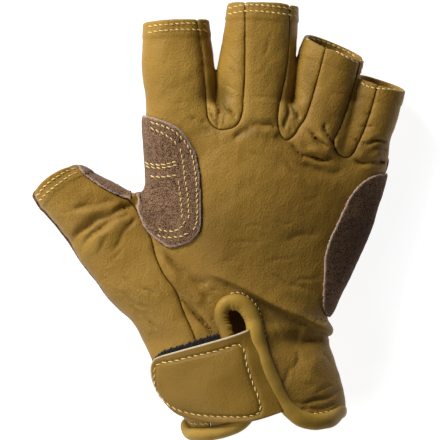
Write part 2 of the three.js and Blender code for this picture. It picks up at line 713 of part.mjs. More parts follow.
const shell = shellSolid(handSolid(0, false));
const spaced = handSolid(gap, true);
const cover = handSolid(gap + suede, false).subtract(spaced);
addPiece("back_panel", backSolid(shell), tanLeather);
addPiece("palm_panel", underSolid(shell), tanLeather);
addPiece("thumb_panel", thumbSolid(shell), tanLeather);
addPiece("fourchette_index_middle", gussetSolid(shell, indexMiddleSeam), tanLeather);
addPiece("fourchette_middle_ring", gussetSolid(shell, middleRingSeam), tanLeather);
addPiece("fourchette_ring_little", gussetSolid(shell, ringLittleSeam), tanLeather);
addPiece("palm_suede", palmSuedeSolid(cover), brownSuede);
addPiece("thumb_suede", thumbSuedeSolid(cover), brownSuede);
addPiece("cuff_binding", bindingSolid(0), tanLeather);
addPiece("strap", strapSolid(), tanLeather);
addPiece("hook_patch", hookSolid(), blackFabric);
addPiece("loop_patch", loopSolid(spaced), blackFabric);

// The origin is the middle of the whole glove's box, at its underside
const box = new THREE.Box3().setFromObject(placed);
placed.position.set(-(box.min.x + box.max.x) / 2, -(box.min.y + box.max.y) / 2, -box.min.z);

export default glove;
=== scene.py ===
import bpy
import numpy as np
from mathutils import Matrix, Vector
from mathutils.bvhtree import BVHTree


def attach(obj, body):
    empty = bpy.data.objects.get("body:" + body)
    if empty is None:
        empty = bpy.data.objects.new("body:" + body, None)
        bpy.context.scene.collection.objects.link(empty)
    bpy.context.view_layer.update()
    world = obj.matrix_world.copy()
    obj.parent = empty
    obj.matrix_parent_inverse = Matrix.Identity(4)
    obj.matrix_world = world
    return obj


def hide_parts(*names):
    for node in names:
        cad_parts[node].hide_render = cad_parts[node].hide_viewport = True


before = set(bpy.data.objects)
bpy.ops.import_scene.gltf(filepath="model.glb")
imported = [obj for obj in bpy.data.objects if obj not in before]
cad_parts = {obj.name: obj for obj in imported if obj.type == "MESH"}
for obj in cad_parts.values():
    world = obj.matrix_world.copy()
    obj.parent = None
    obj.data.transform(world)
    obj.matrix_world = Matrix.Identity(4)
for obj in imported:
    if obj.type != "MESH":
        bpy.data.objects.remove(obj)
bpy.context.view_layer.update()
print("stage: frame loaded")

# Lengths are in millimetres until a mesh is made. A place in the photograph becomes millimetres by its scale.
photo = {"scale": 0.4, "middleX": 218.806, "middleY": 220.465}
shiftX, shiftY = 4.878, -39.814  # from the wrist line's middle to the model's middle
toMetres = 0.001
lineStep = 1.2  # of the lines taken from the photograph


def fromPhoto(points):
    places = np.array(points, float)
    x = (places[..., 0] - photo["middleX"]) * photo["scale"]
    y = (photo["middleY"] - places[..., 1]) * photo["scale"]
    return np.stack([x, y], -1)


# A cubic through the given values, with each slope taken from its neighbours
def smoothAt(places, values, at):
    slopes = np.gradient(values, places)
    i = np.clip(np.searchsorted(places, at) - 1, 0, len(places) - 2)
    span = places[i + 1] - places[i]
    t = np.clip((at - places[i]) / span, 0, 1)
    rise = t * t * (3 - 2 * t)
    start = t * (1 - t) ** 2 * span * slopes[i]
    end = -t * t * (1 - t) * span * slopes[i + 1]
    return values[i] * (1 - rise) + values[i + 1] * rise + start + end


# How far along a line each of its points lies
def runsAlong(points):
    return np.concatenate([[0], np.cumsum(np.linalg.norm(np.diff(points, axis=0), axis=1))])


# A line through points, rounded and cut into even steps
def smoothLine(points, step=lineStep):
    points = np.array(points, float)
    runs = runsAlong(points)
    at = np.linspace(0, runs[-1], max(int(runs[-1] / step), 2) + 1)
    return np.stack([smoothAt(runs, column, at) for column in points.T], 1)


# From 0 at low to 1 at high, rounded at both
def ramp(low, high, value):
    t = np.clip((value - low) / (high - low), 0, 1)
    return t * t * (3 - 2 * t)


# The hand's form, as distances from its surface on a grid of points
hand = {
    "palmLength": 77, "cuffLength": 47, "palmBreadth": 96, "palmDepth": 31, "middleLength": 49, "palmEnd": 85.6,
    "restHeight": 1.6, "leather": 1.35, "suede": 1.25, "seamHeight": 9.97, "arch": 0.055, "fallStart": -0.25,
    "fallLimit": 1.1, "palmRoundness": 2.15, "fingerRoundness": 2.3, "edgeRound": 2.0, "rootRound": 3.0,
    "tipRound": 0.7, "fingerBlend": 0.8, "palmBlend": 3.5, "thumbBlend": 9.0,
}
hem = {"width": 6.4, "height": 0.35, "softness": 0.5, "mapStart": -8.0, "mapEnd": -5.5}
grid = {
    "step": 0.615, "low": (-79.0, -91.0, -0.7), "high": (79.0, 91.0, 41.0), "far": 12,
    "leastSlope": 0.35, "mostSlope": 3.0,
}
# how far round a finger the grid is filled, and how its places find their share of the finger's line
search = {"reach": 14, "samples": 60, "runOn": 40, "tries": 8, "pull": 0.9}

# rise, left, right, thick, base, fall: rise in palm or cuff lengths, across in palm breadths, up in palm depths
palmTable = np.array([
    (-1.149, -0.171, 0.475, 1.03, 0.06, 0), (-0.851, -0.192, 0.475, 1.03, 0.06, 0),
    (-0.723, -0.25, 0.477, 1.03, 0.04, 0), (-0.553, -0.296, 0.462, 1.02, 0.01, 0),
    (-0.34, -0.329, 0.429, 1, -0.02, 0), (-0.17, -0.369, 0.406, 0.96, -0.03, 0),
    (-0.077, -0.39, 0.425, 0.96, -0.03, 0), (0, -0.413, 0.404, 0.94, -0.03, 0),
    (0.068, -0.456, 0.425, 0.96, -0.05, 0), (0.156, -0.488, 0.458, 0.98, -0.05, 0),
    (0.286, -0.413, 0.506, 1, -0.05, 0.08), (0.442, -0.371, 0.564, 1, -0.05, 0.15),
    (0.597, -0.346, 0.604, 1, -0.05, 0.19), (0.675, -0.346, 0.625, 1, -0.05, 0.2),
    (0.738, -0.346, 0.637, 1, -0.05, 0.2), (0.805, -0.346, 0.648, 0.98, -0.05, 0.2),
    (0.883, -0.346, 0.65, 0.96, -0.05, 0.2), (0.982, -0.344, 0.638, 0.89, -0.01, 0.22),
    (1.078, -0.337, 0.629, 0.78, 0.06, 0.22), (1.176, -0.304, 0.604, 0.6, 0.2, 0.22),
])
# along, across, width, turn, depth, lift, lean for each finger, and sway in place of across for the thumb
indexTable = [
    (-0.5, -0.19, 0.75, 0, 0.8, 0.49, 0), (-0.024, -0.2, 1.021, 0, 1, 0.47, 0),
    (0.259, -0.206, 0.986, 1, 1, 0.455, 0), (0.514, -0.218, 1.018, 2, 1, 0.445, 0),
    (0.693, -0.223, 0.986, 2, 0.98, 0.43, 0), (1, -0.23, 0.895, 2.6, 0.97, 0.42, 0.06),
]
middleTable = [
    (-0.4, 0.088, 0.75, 0, 0.8, 0.49, 0), (-0.02, 0.088, 0.987, 0, 1.02, 0.5, 0),
    (0.167, 0.094, 1.015, -1, 1.02, 0.49, 0), (0.298, 0.1, 1.03, -1, 1.02, 0.48, 0),
    (0.461, 0.105, 1.06, -2, 1.02, 0.465, 0), (0.649, 0.115, 1.005, -2, 1, 0.45, 0),
    (0.845, 0.127, 0.971, -2.3, 1, 0.44, 0.03), (1, 0.135, 0.925, -2.3, 0.98, 0.43, 0.08),
]
ringTable = [
    (-0.6, 0.325, 0.75, 0, 0.8, 0.47, 0), (-0.069, 0.36, 0.923, -6, 0.97, 0.465, 0),
    (0.181, 0.379, 0.965, -9.6, 0.96, 0.45, 0), (0.449, 0.391, 1, -12.4, 0.95, 0.435, 0),
    (0.741, 0.407, 1.02, -17.6, 0.95, 0.42, -0.06), (1, 0.433, 0.97, -23, 0.94, 0.41, -0.18),
]
littleTable = [
    (-1.5, 0.455, 0.75, 0, 0.65, 0.42, 0), (-0.833, 0.513, 1.079, -2, 0.84, 0.365, 0),
    (-0.211, 0.554, 0.995, -8, 0.84, 0.365, 0), (0.167, 0.578, 0.995, -13, 0.83, 0.36, 0),
    (0.633, 0.604, 0.986, -15, 0.82, 0.35, -0.08), (1, 0.625, 0.95, -17.8, 0.81, 0.345, -0.15),
]
thumbTable = [
    (-0.15, 0, 0.6, 0, 0.7, 0.45, 0), (0.05, 0, 0.95, 0, 0.92, 0.43, 0),
    (0.219, 0, 1.06, 0, 1, 0.42, 0), (0.42, 0.05, 1.12, 0, 1, 0.41, 0),
    (0.606, 0.045, 0.96, -2, 0.97, 0.4, 0), (0.773, 0.028, 0.82, -5, 0.94, 0.38, 0.03),
    (0.899, 0.004, 0.73, -8, 0.9, 0.365, 0.08), (1, -0.004, 0.62, -11.4, 0.88, 0.355, 0.12),
]
fingers = {
    "index": {"rows": indexTable, "length": 42.4, "width": 29, "depth": 23.5},
    "middle": {"rows": middleTable, "length": 49, "width": 30, "depth": 23.5},
    "ring": {"rows": ringTable, "length": 32.1, "width": 26, "depth": 23.5},
    "little": {"rows": littleTable, "length": 18, "width": 21.5, "depth": 23.5},
    "thumb": {
        "rows": thumbTable, "length": 59.3, "width": 32, "depth": 24, "spread": 45, "crown": 1.5, "reachY": 20,
        "rootX": -0.296 * hand["palmBreadth"], "rootY": 0.182 * hand["palmLength"],
    },
}

axisX, axisY, axisZ = (
    np.arange(low, high + grid["step"], grid["step"], dtype=np.float32)
    for low, high in zip(grid["low"], grid["high"])
)
mapX, mapY = np.meshgrid(axisX, axisY, indexing="ij")
heights = axisZ[None, None, :]


# A map as a field that is the same at all heights
def upright(values):
    return np.asarray(values, np.float32)[..., None]


def riseToY(rise):
    above = hand["palmLength"] + hand["middleLength"] * (rise - 1)
    below = np.where(rise < 0, hand["cuffLength"], hand["palmLength"]) * rise
    return np.where(rise > 1, above, below)


palmRows = riseToY(palmTable[:, 0])


# The palm's section at a place along the hand: left, right, low and full height, and its fall
def palmSection(y):
    left, right, thick, base, fall = (smoothAt(palmRows, palmTable[:, k], y) for k in range(1, 6))
    low = hand["restHeight"] + base * hand["palmDepth"]
    return left * hand["palmBreadth"], right * hand["palmBreadth"], low, thick * hand["palmDepth"], fall


# The section's height at a share of its half width: arched, and lower towards the little finger's side
def palmHeight(height, fall, share):
    start = hand["fallStart"]
    drop = fall * np.clip((share - start) / (1 - start), 0, hand["fallLimit"])
    return height * (1 - drop) * (1 + hand["arch"] * np.clip(1 - share ** 2, 0, 1))


# Distance outside a rounded box: its share of the way out less one, over how fast that share grows
def boxDistance(across, up, halfWidth, halfDepth, power):
    a = np.abs(across) / halfWidth
    b = np.abs(up) / halfDepth
    share = np.maximum(a ** power + b ** power, 1e-3) ** (1 / power)
    slope = share ** (1 - power) * np.hypot(a ** (power - 1) / halfWidth, b ** (power - 1) / halfDepth)
    return (share - 1) / np.maximum(slope, 1e-3)


def smoothMin(a, b, reach):
    return np.minimum(a, b) - np.maximum(reach - np.abs(a - b), 0) ** 2 / (4 * reach)


def smoothMax(a, b, reach):
    return -smoothMin(-a, -b, reach)


def palmDistance():
    y = mapY - shiftY
    left, right, low, height, fall = palmSection(y)
    across = mapX - shiftX - (left + right) / 2
    half = (right - left) / 2
    height = palmHeight(height, fall, across / half)
    up = heights - upright(low + height / 2)
    side = boxDistance(upright(across), up, upright(half), upright(height / 2), hand["palmRoundness"])
    return smoothMax(side, upright(y - hand["palmEnd"]), hand["edgeRound"])


# Place of each finger's middle line and its sections, run on straight past both ends
def fingerLine(finger):
    rows = np.array(finger["rows"], float)
    along = rows[:, 0] * finger["length"]
    turn = np.radians(rows[:, 3])
    if "spread" in finger:
        spread = np.radians(finger["spread"])
        sway = rows[:, 1] * finger["width"]
        x = finger["rootX"] - along * np.sin(spread) + sway * np.cos(spread)
        y = finger["rootY"] + along * np.cos(spread) + sway * np.sin(spread)
        turn = turn + spread
    else:
        x = rows[:, 1] * hand["palmBreadth"]
        y = hand["palmLength"] + along
    z = hand["restHeight"] + rows[:, 5] * hand["palmDepth"]
    width = rows[:, 2] * finger["width"] / 2
    depth = rows[:, 4] * finger["depth"] / 2
    runOn = search["runOn"]
    fine = np.linspace(along[0], along[-1], search["samples"])
    parts = [smoothAt(along, part, fine) for part in (x, y, z, turn, width, depth, rows[:, 6])]
    parts = [np.concatenate([part[:1], part, part[-1:]]) for part in parts]
    fine = np.concatenate([[fine[0] - runOn], fine, [fine[-1] + runOn]])
    for end, inner, reach in ((0, 1, -runOn), (-1, -2, runOn)):
        parts[0][end] = parts[0][inner] - reach * np.sin(parts[3][inner])
        parts[1][end] = parts[1][inner] + reach * np.cos(parts[3][inner])
    return fine, parts


# A finger's distances: outside with its folded hem and open end, and inside without them
def fingerDistance(finger, outer, inner, blend):
    fine, (x, y, z, turn, width, depth, lean) = fingerLine(finger)
    x, y = x + shiftX, y + shiftY
    reachX = width.max() + search["reach"]
    reachY = finger.get("reachY", search["reach"])
    spanX = (axisX > x[1:-1].min() - reachX) & (axisX < x[1:-1].max() + reachX)
    spanY = (axisY > y[1:-1].min() - reachY) & (axisY < y[1:-1].max() + reachY)
    window = np.ix_(spanX, spanY)
    px, py = mapX[window], mapY[window]
    s = (py - y[1]) + fine[1]
    for _ in range(search["tries"]):
        angle = np.interp(s, fine, turn)
        ahead = (py - np.interp(s, fine, y)) * np.cos(angle) - (px - np.interp(s, fine, x)) * np.sin(angle)
        s = np.clip(s + search["pull"] * ahead, fine[0], fine[-1])
    across = upright((px - np.interp(s, fine, x)) * np.cos(angle) + (py - np.interp(s, fine, y)) * np.sin(angle))
    middle, half, halfDepth, tilt = (upright(np.interp(s, fine, part)) for part in (z, width, depth, lean))
    s = upright(s)
    up = heights - middle
    side = boxDistance(across, up, half, halfDepth, hand["fingerRoundness"])
    side = smoothMax(side, fine[1] - s, hand["rootRound"])
    crown = finger.get("crown", 0) * np.clip(1 - (across / half) ** 2, 0, 1)
    tip = s - up * tilt - finger["length"] - crown
    fold = hem["height"] * ramp(-hem["softness"], hem["softness"], tip + hem["width"])
    outside = smoothMax(side - fold, tip, hand["tipRound"])
    hemMap[window] = np.maximum(hemMap[window], ramp(hem["mapStart"], hem["mapEnd"], s[..., 0] - finger["length"]))
    box = np.ix_(spanX, spanY, np.ones(len(axisZ), bool))
    outer[box] = smoothMin(outer[box], outside, blend)
    inner[box] = smoothMin(inner[box], side, blend)


# Distances divided by how steeply they change, so that a wall between two of them is even
def evened(distance):
    slopes = np.gradient(distance, grid["step"])
    steepness = np.sqrt(sum(slope * slope for slope in slopes))
    return distance / np.clip(steepness, grid["leastSlope"], grid["mostSlope"])


hemMap = np.zeros(mapX.shape, np.float32)
outer, inner = (np.full((*mapX.shape, len(axisZ)), grid["far"], np.float32) for _ in range(2))
for name in ("index", "middle", "ring", "little"):
    fingerDistance(fingers[name], outer, inner, hand["fingerBlend"])
palm = palmDistance()
outer = smoothMin(outer, palm, hand["palmBlend"])
inner = smoothMin(inner, palm, hand["palmBlend"])
fingerDistance(fingers["thumb"], outer, inner, hand["thumbBlend"])
outer = evened(smoothMax(outer, hand["restHeight"] - heights, hand["edgeRound"]))
inner = evened(smoothMax(inner, hand["restHeight"] - heights, hand["edgeRound"]))
print("stage: hand form", outer.shape)

# Lines seen from above, in the photograph's pixels
seamLines = {
    "indexMiddle": [
        (196.4, 6), (196.9, 22), (199.8, 38), (202.7, 59), (205, 86), (206.5, 105), (209.3, 121.5),
        (213, 126.5), (218, 129.6), (227.5, 129.6), (237, 125.3), (241.9, 115), (243.3, 100), (244.7, 76.5),
        (245.2, 38), (245.2, -10),
    ],
    "middleRing": [
        (289.6, -10), (289.2, 16), (288.7, 38), (286.8, 67), (282, 91), (278.2, 110), (277.7, 124), (281, 136),
        (285.9, 140.6), (293.5, 136), (300, 126), (303.8, 121), (308.7, 109), (314.7, 89), (323, 57.6), (331, 24),
    ],
    "ringLittle": [
        (362, 46), (354, 84), (348, 104), (340, 127), (333.4, 143.6), (335.5, 151), (341.4, 156.5),
        (344.3, 157.5), (350.2, 156.5), (354.5, 151), (358, 143.6), (363, 133), (367, 122), (372, 107),
        (376.4, 90.3), (384, 66),
    ],
    "thumb": [
        (-5, 120), (110, 186), (134, 206), (140, 216), (147, 229), (151.8, 239.5), (155.6, 255), (164.5, 275),
        (176, 290.5), (183.7, 311), (195.2, 337.7), (203, 366), (208, 400), (210, 470), (-5, 470),
    ],
}
suedeLines = {
    "index": [
        (132, 106), (142.5, 112.5), (148, 114.2), (164, 119), (180, 127), (190.7, 139.7), (197.6, 153.5),
        (201, 169.5), (202.7, 189), (203.3, 212), (201, 232.7), (191.8, 243), (180, 247.6), (169, 249.5),
        (159.7, 244), (146, 232.7), (138, 218), (134.6, 206), (136.5, 199.4), (133, 194),
    ],
    "little": [
        (404, 169), (389, 171.2), (380.7, 172), (369.4, 175.4), (358.2, 183), (349.8, 193), (342.8, 205.6),
        (335.8, 221), (327.3, 239.3), (323, 253), (321.7, 271.5), (321, 295.4), (322.4, 312), (325.9, 317.4),
        (331, 320.2), (345, 330), (404, 300), (404, 230),
    ],
    "under": [
        (132, 106), (231, 132), (404, 169), (404, 318), (334.9, 322), (300, 300), (240.1, 262), (176.2, 250),
        (132, 212),
    ],
    "strip": [
        (68, 150), (77, 168.5), (81.6, 174.4), (97, 186), (109.7, 193.6), (127.6, 200.6), (138, 204),
        (150, 200), (140, 176), (98, 150),
    ],
    "thumbUnder": [
        (20, 190), (76, 128), (140, 168), (140, 236), (158, 251), (152, 300), (120, 345), (34, 280),
    ],
}
# Middle line of the edging: across in palm breadths, rise, width in edging widths
slitTable = np.array([
    (0.471, -0.774, 0.85), (0.433, -0.826, 0.95), (0.392, -0.847, 0.95), (0.342, -0.855, 0.95),
    (0.296, -0.834, 0.95), (0.25, -0.774, 0.88), (0.208, -0.672, 0.9), (0.169, -0.502, 0.92),
    (0.138, -0.349, 0.95), (0.117, -0.221, 0.97), (0.102, -0.111, 1), (0.092, 0, 1),
    (0.071, 0.052, 1), (0.044, 0.086, 1), (0.013, 0.096, 0.95), (-0.019, 0.086, 0.85),
    (-0.038, 0.052, 0.8), (-0.037, 0.005, 0.82), (-0.022, -0.085, 0.82), (-0.002, -0.221, 0.8),
    (0.029, -0.357, 0.8), (0.058, -0.511, 0.8), (0.079, -0.655, 0.8), (0.079, -0.757, 0.8),
    (0.058, -0.834, 0.8), (0.017, -0.898, 0.8), (-0.037, -0.936, 0.8), (-0.088, -0.957, 0.8),
    (-0.133, -0.962, 0.8), (-0.171, -0.945, 0.8), (-0.208, -0.911, 0.8),
])
underTable = np.array([
    (-0.208, -0.911, 0.8), (-0.15, -0.885, 0.8), (-0.067, -0.809, 0.8), (0.058, -0.732, 0.8),
    (0.183, -0.706, 0.8), (0.308, -0.706, 0.8), (0.413, -0.74, 0.82), (0.471, -0.774, 0.85),
])


def onPlan(table):
    return np.stack([table[:, 0] * hand["palmBreadth"] + shiftX, riseToY(table[:, 1]) + shiftY], 1)


# Distance from places to a line, the share of the line's length at the nearest spot, and whether a place is left
# of it
def lineDistance(points, closed=False, x=mapX, y=mapY):
    if closed:
        points = np.concatenate([points, points[:1]])
    runs = runsAlong(points)
    best = np.full(x.shape, 1e9)
    share = np.zeros(x.shape)
    left = np.zeros(x.shape, bool)
    for start, end, run in zip(points[:-1], points[1:], runs):
        length = np.hypot(*(end - start))
        way = (end - start) / max(length, 1e-9)
        dx, dy = x - start[0], y - start[1]
        t = np.clip(dx * way[0] + dy * way[1], 0, length)
        gap = np.hypot(dx - t * way[0], dy - t * way[1])
        nearer = gap < best
        best = np.where(nearer, gap, best)
        share = np.where(nearer, (run + t) / runs[-1], share)
        left = np.where(nearer, dy * way[0] > dx * way[1], left)
    return best, share, left


# Distance from an outline, counted below zero inside it
def regionDistance(points):
    best, _, _ = lineDistance(points, closed=True)
    inside = np.zeros(mapX.shape, bool)
    for (x0, y0), (x1, y1) in zip(points, np.roll(points, -1, 0)):
        if y0 != y1:
            inside ^= ((mapY > y0) != (mapY > y1)) & (mapX < (x1 - x0) * (mapY - y0) / (y1 - y0) + x0)
    return np.where(inside, -best, best).astype(np.float32)


seamRegions, suedeRegions = (
    {name: regionDistance(smoothLine(fromPhoto(line))) for name, line in lines.items()}
    for lines in (seamLines, suedeLines)
)
print("stage: seam and edge lines")

# Folds of the leather
# centre across and rise, half lengths in palm breadths, turn in degrees, height in palm depths
foldTable = [
    (0.254, 0.01, 0.183, 0.037, -24, 0.052), (0.221, 0.109, 0.183, 0.037, -28, -0.042),
    (0.304, -0.153, 0.1, 0.033, 8, -0.035), (0.363, -0.391, 0.108, 0.125, 0, 0.029),
    (0.129, 1.004, 0.075, 0.029, 0, -0.026), (0.046, 0.966, 0.05, 0.029, 35, -0.019),
    (0.337, 0.868, 0.117, 0.033, -20, -0.039), (0.413, 0.904, 0.054, 0.029, -46, 0.026),
    (0.367, 0.784, 0.108, 0.042, -17, -0.032), (0.571, 0.826, 0.083, 0.033, -2, -0.029),
    (-0.546, 0.514, 0.15, 0.033, 35, -0.042), (-0.496, 0.457, 0.125, 0.033, 38, 0.023),
    (-0.567, 0.608, 0.117, 0.033, 3, -0.026), (-0.179, 0.27, 0.158, 0.037, -38, -0.029),
    (-0.129, 0.021, 0.133, 0.033, -48, -0.032), (0.288, 0.436, 0.092, 0.033, 12, -0.016),
]
# height in millimetres, half width, the fold's points in the photograph, and half width on their right if other
creaseTable = [
    # the thumb's fan of folds from its crotch
    (-1.1, 1.3, [(66, 204), (74, 207), (84, 207.5), (101, 203.5), (121, 200)]),
    (0.9, 2.4, [(72, 216), (86, 213), (104, 208.5), (124, 203)]),
    (-1.8, 1.5, [(72, 247), (76, 238), (83, 228), (95, 221.5), (111, 215), (128, 206.7), (136, 201.5)]),
    (0.8, 1.6, [(79, 244), (85, 233), (96, 226), (112, 218.5), (128, 210)]),
    (-1.4, 1.2, [(81, 254), (85, 244), (91, 236), (104, 226), (121, 216.7), (133, 210)]),
    (0.7, 2.0, [(92, 250), (100, 237), (112, 228), (126, 217)]),
    (-0.9, 1.3, [(110, 254), (122, 237), (130, 226), (137, 214)]),
    (-0.5, 1.0, [(112, 232), (104, 243), (97, 256)]),
    (-0.45, 0.9, [(128, 240), (120, 252), (109, 264)]),
    (-0.8, 1.1, [(120, 276), (136, 285), (156, 296)]),
    (-0.7, 1.0, [(112, 288), (128, 297), (150, 311)]),
    (-0.9, 1.1, [(128, 304), (142, 314), (158, 330)]),
    (-0.3, 0.9, [(150, 268), (160, 284), (166, 300)]),
    (-0.4, 0.8, [(54, 208), (62, 212), (74, 212)]),
    (3.2, 2.6, [(127, 192.5), (134, 195), (142, 198)]),
    # beside the thumb's seam and down to the slit
    (-1.9, 1.7, [(158, 247), (168, 256), (183, 270), (196, 279), (212, 284)]),
    (0.8, 2.2, [(166, 268), (180, 283), (196, 296), (206, 306)]),
    (-2.4, 1.1, [(176, 291), (186, 303.5), (197, 315), (208, 327), (219, 339)]),
    (-0.7, 1.2, [(196, 286), (204, 294), (212, 299)]),
    (-0.6, 0.9, [(204, 281), (210, 290), (221, 291)]),
    (-0.6, 0.9, [(206, 309), (211, 316), (214, 324)]),
    # the wrist's long ridge, its bulge at the side and the hollows on both sides of it
    (4.8, 8.5, [(200, 268), (223, 277.5), (248, 289), (273, 303), (298, 315), (327, 326)], 1.5),
    (-1.8, 6.0, [(248, 303), (266, 318), (288, 329), (306, 334)]),
    (-1.4, 3.0, [(284, 350), (296, 344), (310, 339.5), (326, 339)]),
    (1.2, 2.8, [(308, 319), (320, 323), (332, 325)]),
    (-1.6, 1.1, [(306, 326), (316, 331), (327, 335), (333, 337)]),
    (-0.6, 1.3, [(248, 263), (270, 274), (292, 284), (318, 292)]),
    (-0.5, 1.0, [(268, 318), (276, 328), (280, 340)]),
    # the cuff
    (-0.8, 1.8, [(297, 343), (296.5, 358), (289, 372), (280, 387)]),
    (0.7, 4.5, [(313, 352), (312, 368), (306, 384)]),
    (-1.3, 1.2, [(286, 402), (299, 402), (313, 400.5), (331, 394), (342, 388)]),
    (-1.0, 1.0, [(293, 406.5), (305, 408), (317, 408), (336, 403.5)]),
    (-0.5, 0.9, [(304, 394), (318, 391), (333, 383)]),
    (-0.5, 0.9, [(318, 345), (325, 355), (330, 366)]),
    (-0.4, 0.9, [(270, 350), (276, 362), (277, 374)]),
    # the knuckles and the finger crotches
    (-1.5, 1.6, [(249, 129), (256, 125.5), (264, 124.3), (272, 126.3), (278, 131.5)]),
    (1.0, 2.2, [(250, 134), (260, 130.5), (270, 131.5), (278, 137)]),
    (-1.1, 1.5, [(232, 139), (240, 135), (249, 129.5)]),
    (-0.9, 1.2, [(190, 118.5), (199, 121), (208, 121.5)]),
    (-0.7, 1.3, [(206, 127), (212, 134), (222, 138)]),
    (-2.4, 1.2, [(285, 140), (292, 147.5), (300, 153.5), (318, 159), (339, 157)]),
    (1.2, 1.7, [(292, 141), (303, 148), (318, 153), (332, 153.5)]),
    (-2.2, 1.1, [(300, 128), (309, 133), (318, 139), (330, 149), (338, 153)]),
    (1.1, 1.3, [(318, 134), (327, 142), (336, 150)]),
    (-1.8, 1.1, [(328, 122), (325, 131), (329, 139), (337, 146)]),
    (-1.2, 2.4, [(296, 160), (310, 167), (325, 172), (342, 174)]),
    (0.8, 1.8, [(306, 161.5), (322, 165.5), (340, 166)]),
    (-1.9, 1.2, [(350, 158.5), (358, 161.5), (368.7, 163.5), (385, 160)]),
    (1.0, 1.6, [(356, 154), (368, 156.5), (384, 153)]),
    (-2.3, 1.1, [(360, 147), (368, 143.5), (378, 141.5), (389, 142)]),
    (-0.8, 1.0, [(372, 150), (381, 148), (388, 149)]),
    (-0.6, 1.2, [(270, 150), (284, 160), (296, 172), (310, 186)]),
    (-0.5, 1.2, [(240, 148), (256, 156), (274, 160)]),
    (-2.0, 1.0, [(217, 98), (218.5, 112), (219.5, 129)]),
    (-1.6, 0.9, [(222, 98), (228, 109), (235.5, 119.6)]),
    (-1.4, 0.8, [(210, 104), (213, 116), (216, 124)]),
    (-0.6, 0.7, [(222, 110), (224, 118), (225, 127)]),
    (-1.9, 1.0, [(289, 100), (287, 118), (285.4, 131)]),
    (-1.8, 1.0, [(292, 103), (295, 112), (299, 121)]),
    (-0.7, 0.7, [(290, 116), (290.5, 124), (290, 133)]),
    (-0.9, 0.8, [(358, 124.5), (366, 126), (373, 127.5)]),
    (-0.9, 0.8, [(354, 139.5), (361, 142), (368, 142.5)]),
    (-0.6, 0.8, [(362, 114), (367, 115), (373, 115)]),
    # light wrinkles on the back
    (-0.4, 0.8, [(270, 222), (283, 223.5), (296, 222)]),
    (-0.5, 1.2, [(282, 240), (300, 235.5), (318, 233)]),
    (-0.35, 0.9, [(240, 228), (256, 226), (270, 228)]),
    (-0.4, 1.0, [(228, 244), (246, 241), (262, 245)]),
    (-0.5, 1.1, [(286, 285), (304, 279.5), (321, 276)]),
    (-0.4, 0.9, [(262, 262), (278, 260), (298, 255)]),
    (-0.35, 0.9, [(300, 203), (312, 199), (326, 197)]),
    (-0.35, 0.8, [(216, 258), (228, 262), (240, 261)]),
    # on the fingers
    (-0.45, 0.8, [(226, 52), (234, 62), (243, 70)]),
    (-0.45, 0.8, [(224, 64), (233, 75), (242, 82)]),
    (-0.5, 0.8, [(221, 78), (231, 89), (241, 96)]),
    (-0.35, 0.7, [(222, 90), (229, 98), (236, 103)]),
    (-0.35, 0.9, [(260, 62), (267, 46), (273, 34)]),
    (-0.35, 0.9, [(249, 80), (262, 71), (272, 58)]),
    (-0.4, 1.0, [(250, 100), (264, 97), (276, 100)]),
    (-0.3, 0.8, [(160, 100), (176, 104), (194, 102)]),
    (-0.3, 0.8, [(150, 84), (168, 88), (186, 86)]),
    (-0.35, 0.9, [(322, 110), (333, 116), (343, 118)]),
    (-0.3, 0.8, [(330, 90), (342, 96), (350, 98)]),
    (-0.4, 0.8, [(298, 84), (304, 94), (309, 98)]),
    (-0.35, 0.8, [(300, 72), (307, 82), (312, 86)]),
    (-0.3, 0.9, [(378, 106), (388, 112), (395, 113)]),
]
wobble = {"length": 9.0, "reach": 0.5}
# A crease fades at both ends; a valley is a round and a sharp dip with low rims, and gets painted shade along it
crease = {
    "fadeIn": 0.3, "fadeOut": 0.14, "even": 0.85, "uneven": 0.25, "round": 0.45, "sharp": 0.6, "sharpWidth": 0.6,
    "valleyShade": 0.34, "valleyShadeLimit": 0.55, "valleyShadeWidth": 0.35, "rim": 0.35, "rimWidth": 2.4,
}
# Painted shadow along the foot of a ridge's steep side, so that side is darker
ridgeShadow = {"start": 0.7, "reach": 6.5, "share": 0.75}


def foldHeights():
    total = np.zeros(mapX.shape)
    dark = np.zeros(mapX.shape)
    for across, rise, length, width, turn, height in foldTable:
        turn = np.radians(turn)
        dx = mapX - shiftX - across * hand["palmBreadth"]
        dy = mapY - shiftY - riseToY(np.array(rise))
        along = (dx * np.cos(turn) + dy * np.sin(turn)) / (length * hand["palmBreadth"])
        beside = (dy * np.cos(turn) - dx * np.sin(turn)) / (width * hand["palmBreadth"])
        total += height * hand["palmDepth"] * np.exp(-along ** 2 - beside ** 2)
    for height, width, points, *rightWidth in creaseTable:
        line = smoothLine(fromPhoto(points))
        drift = wobble["reach"] * np.sin(line[:, ::-1] / wobble["length"] * 2 * np.pi + height * 5)
        distance, share, left = lineDistance(line + drift * (not rightWidth))
        fade = ramp(0, crease["fadeIn"], share) * ramp(0, crease["fadeOut"], 1 - share)
        fade *= crease["even"] + crease["uneven"] * np.sin(share * 9 + height * 7)
        if rightWidth:
            width = np.where(left, width, rightWidth[0])
            # painted shadow below the ridge's steep side
            foot = ramp(0, ridgeShadow["start"], distance) * np.exp(-(distance / ridgeShadow["reach"]) ** 2)
            dark = np.maximum(dark, ridgeShadow["share"] * fade * np.where(left, 0, foot))
        valley = np.exp(-(distance / width) ** 2)
        if height < 0:
            sharp = np.exp(-distance / width / crease["sharpWidth"])
            valley = crease["round"] * valley + crease["sharp"] * sharp
            # painted shade along the valley, stronger for deeper creases
            valleyShade = min(-height * crease["valleyShade"], crease["valleyShadeLimit"])
            dark = np.maximum(dark, valleyShade * fade * np.exp(-distance / width / crease["valleyShadeWidth"]))
        rim = crease["rim"] * np.exp(-(distance / width / crease["rimWidth"]) ** 2)
        total += height * fade * (valley - rim)
    return total.astype(np.float32), dark.astype(np.float32)


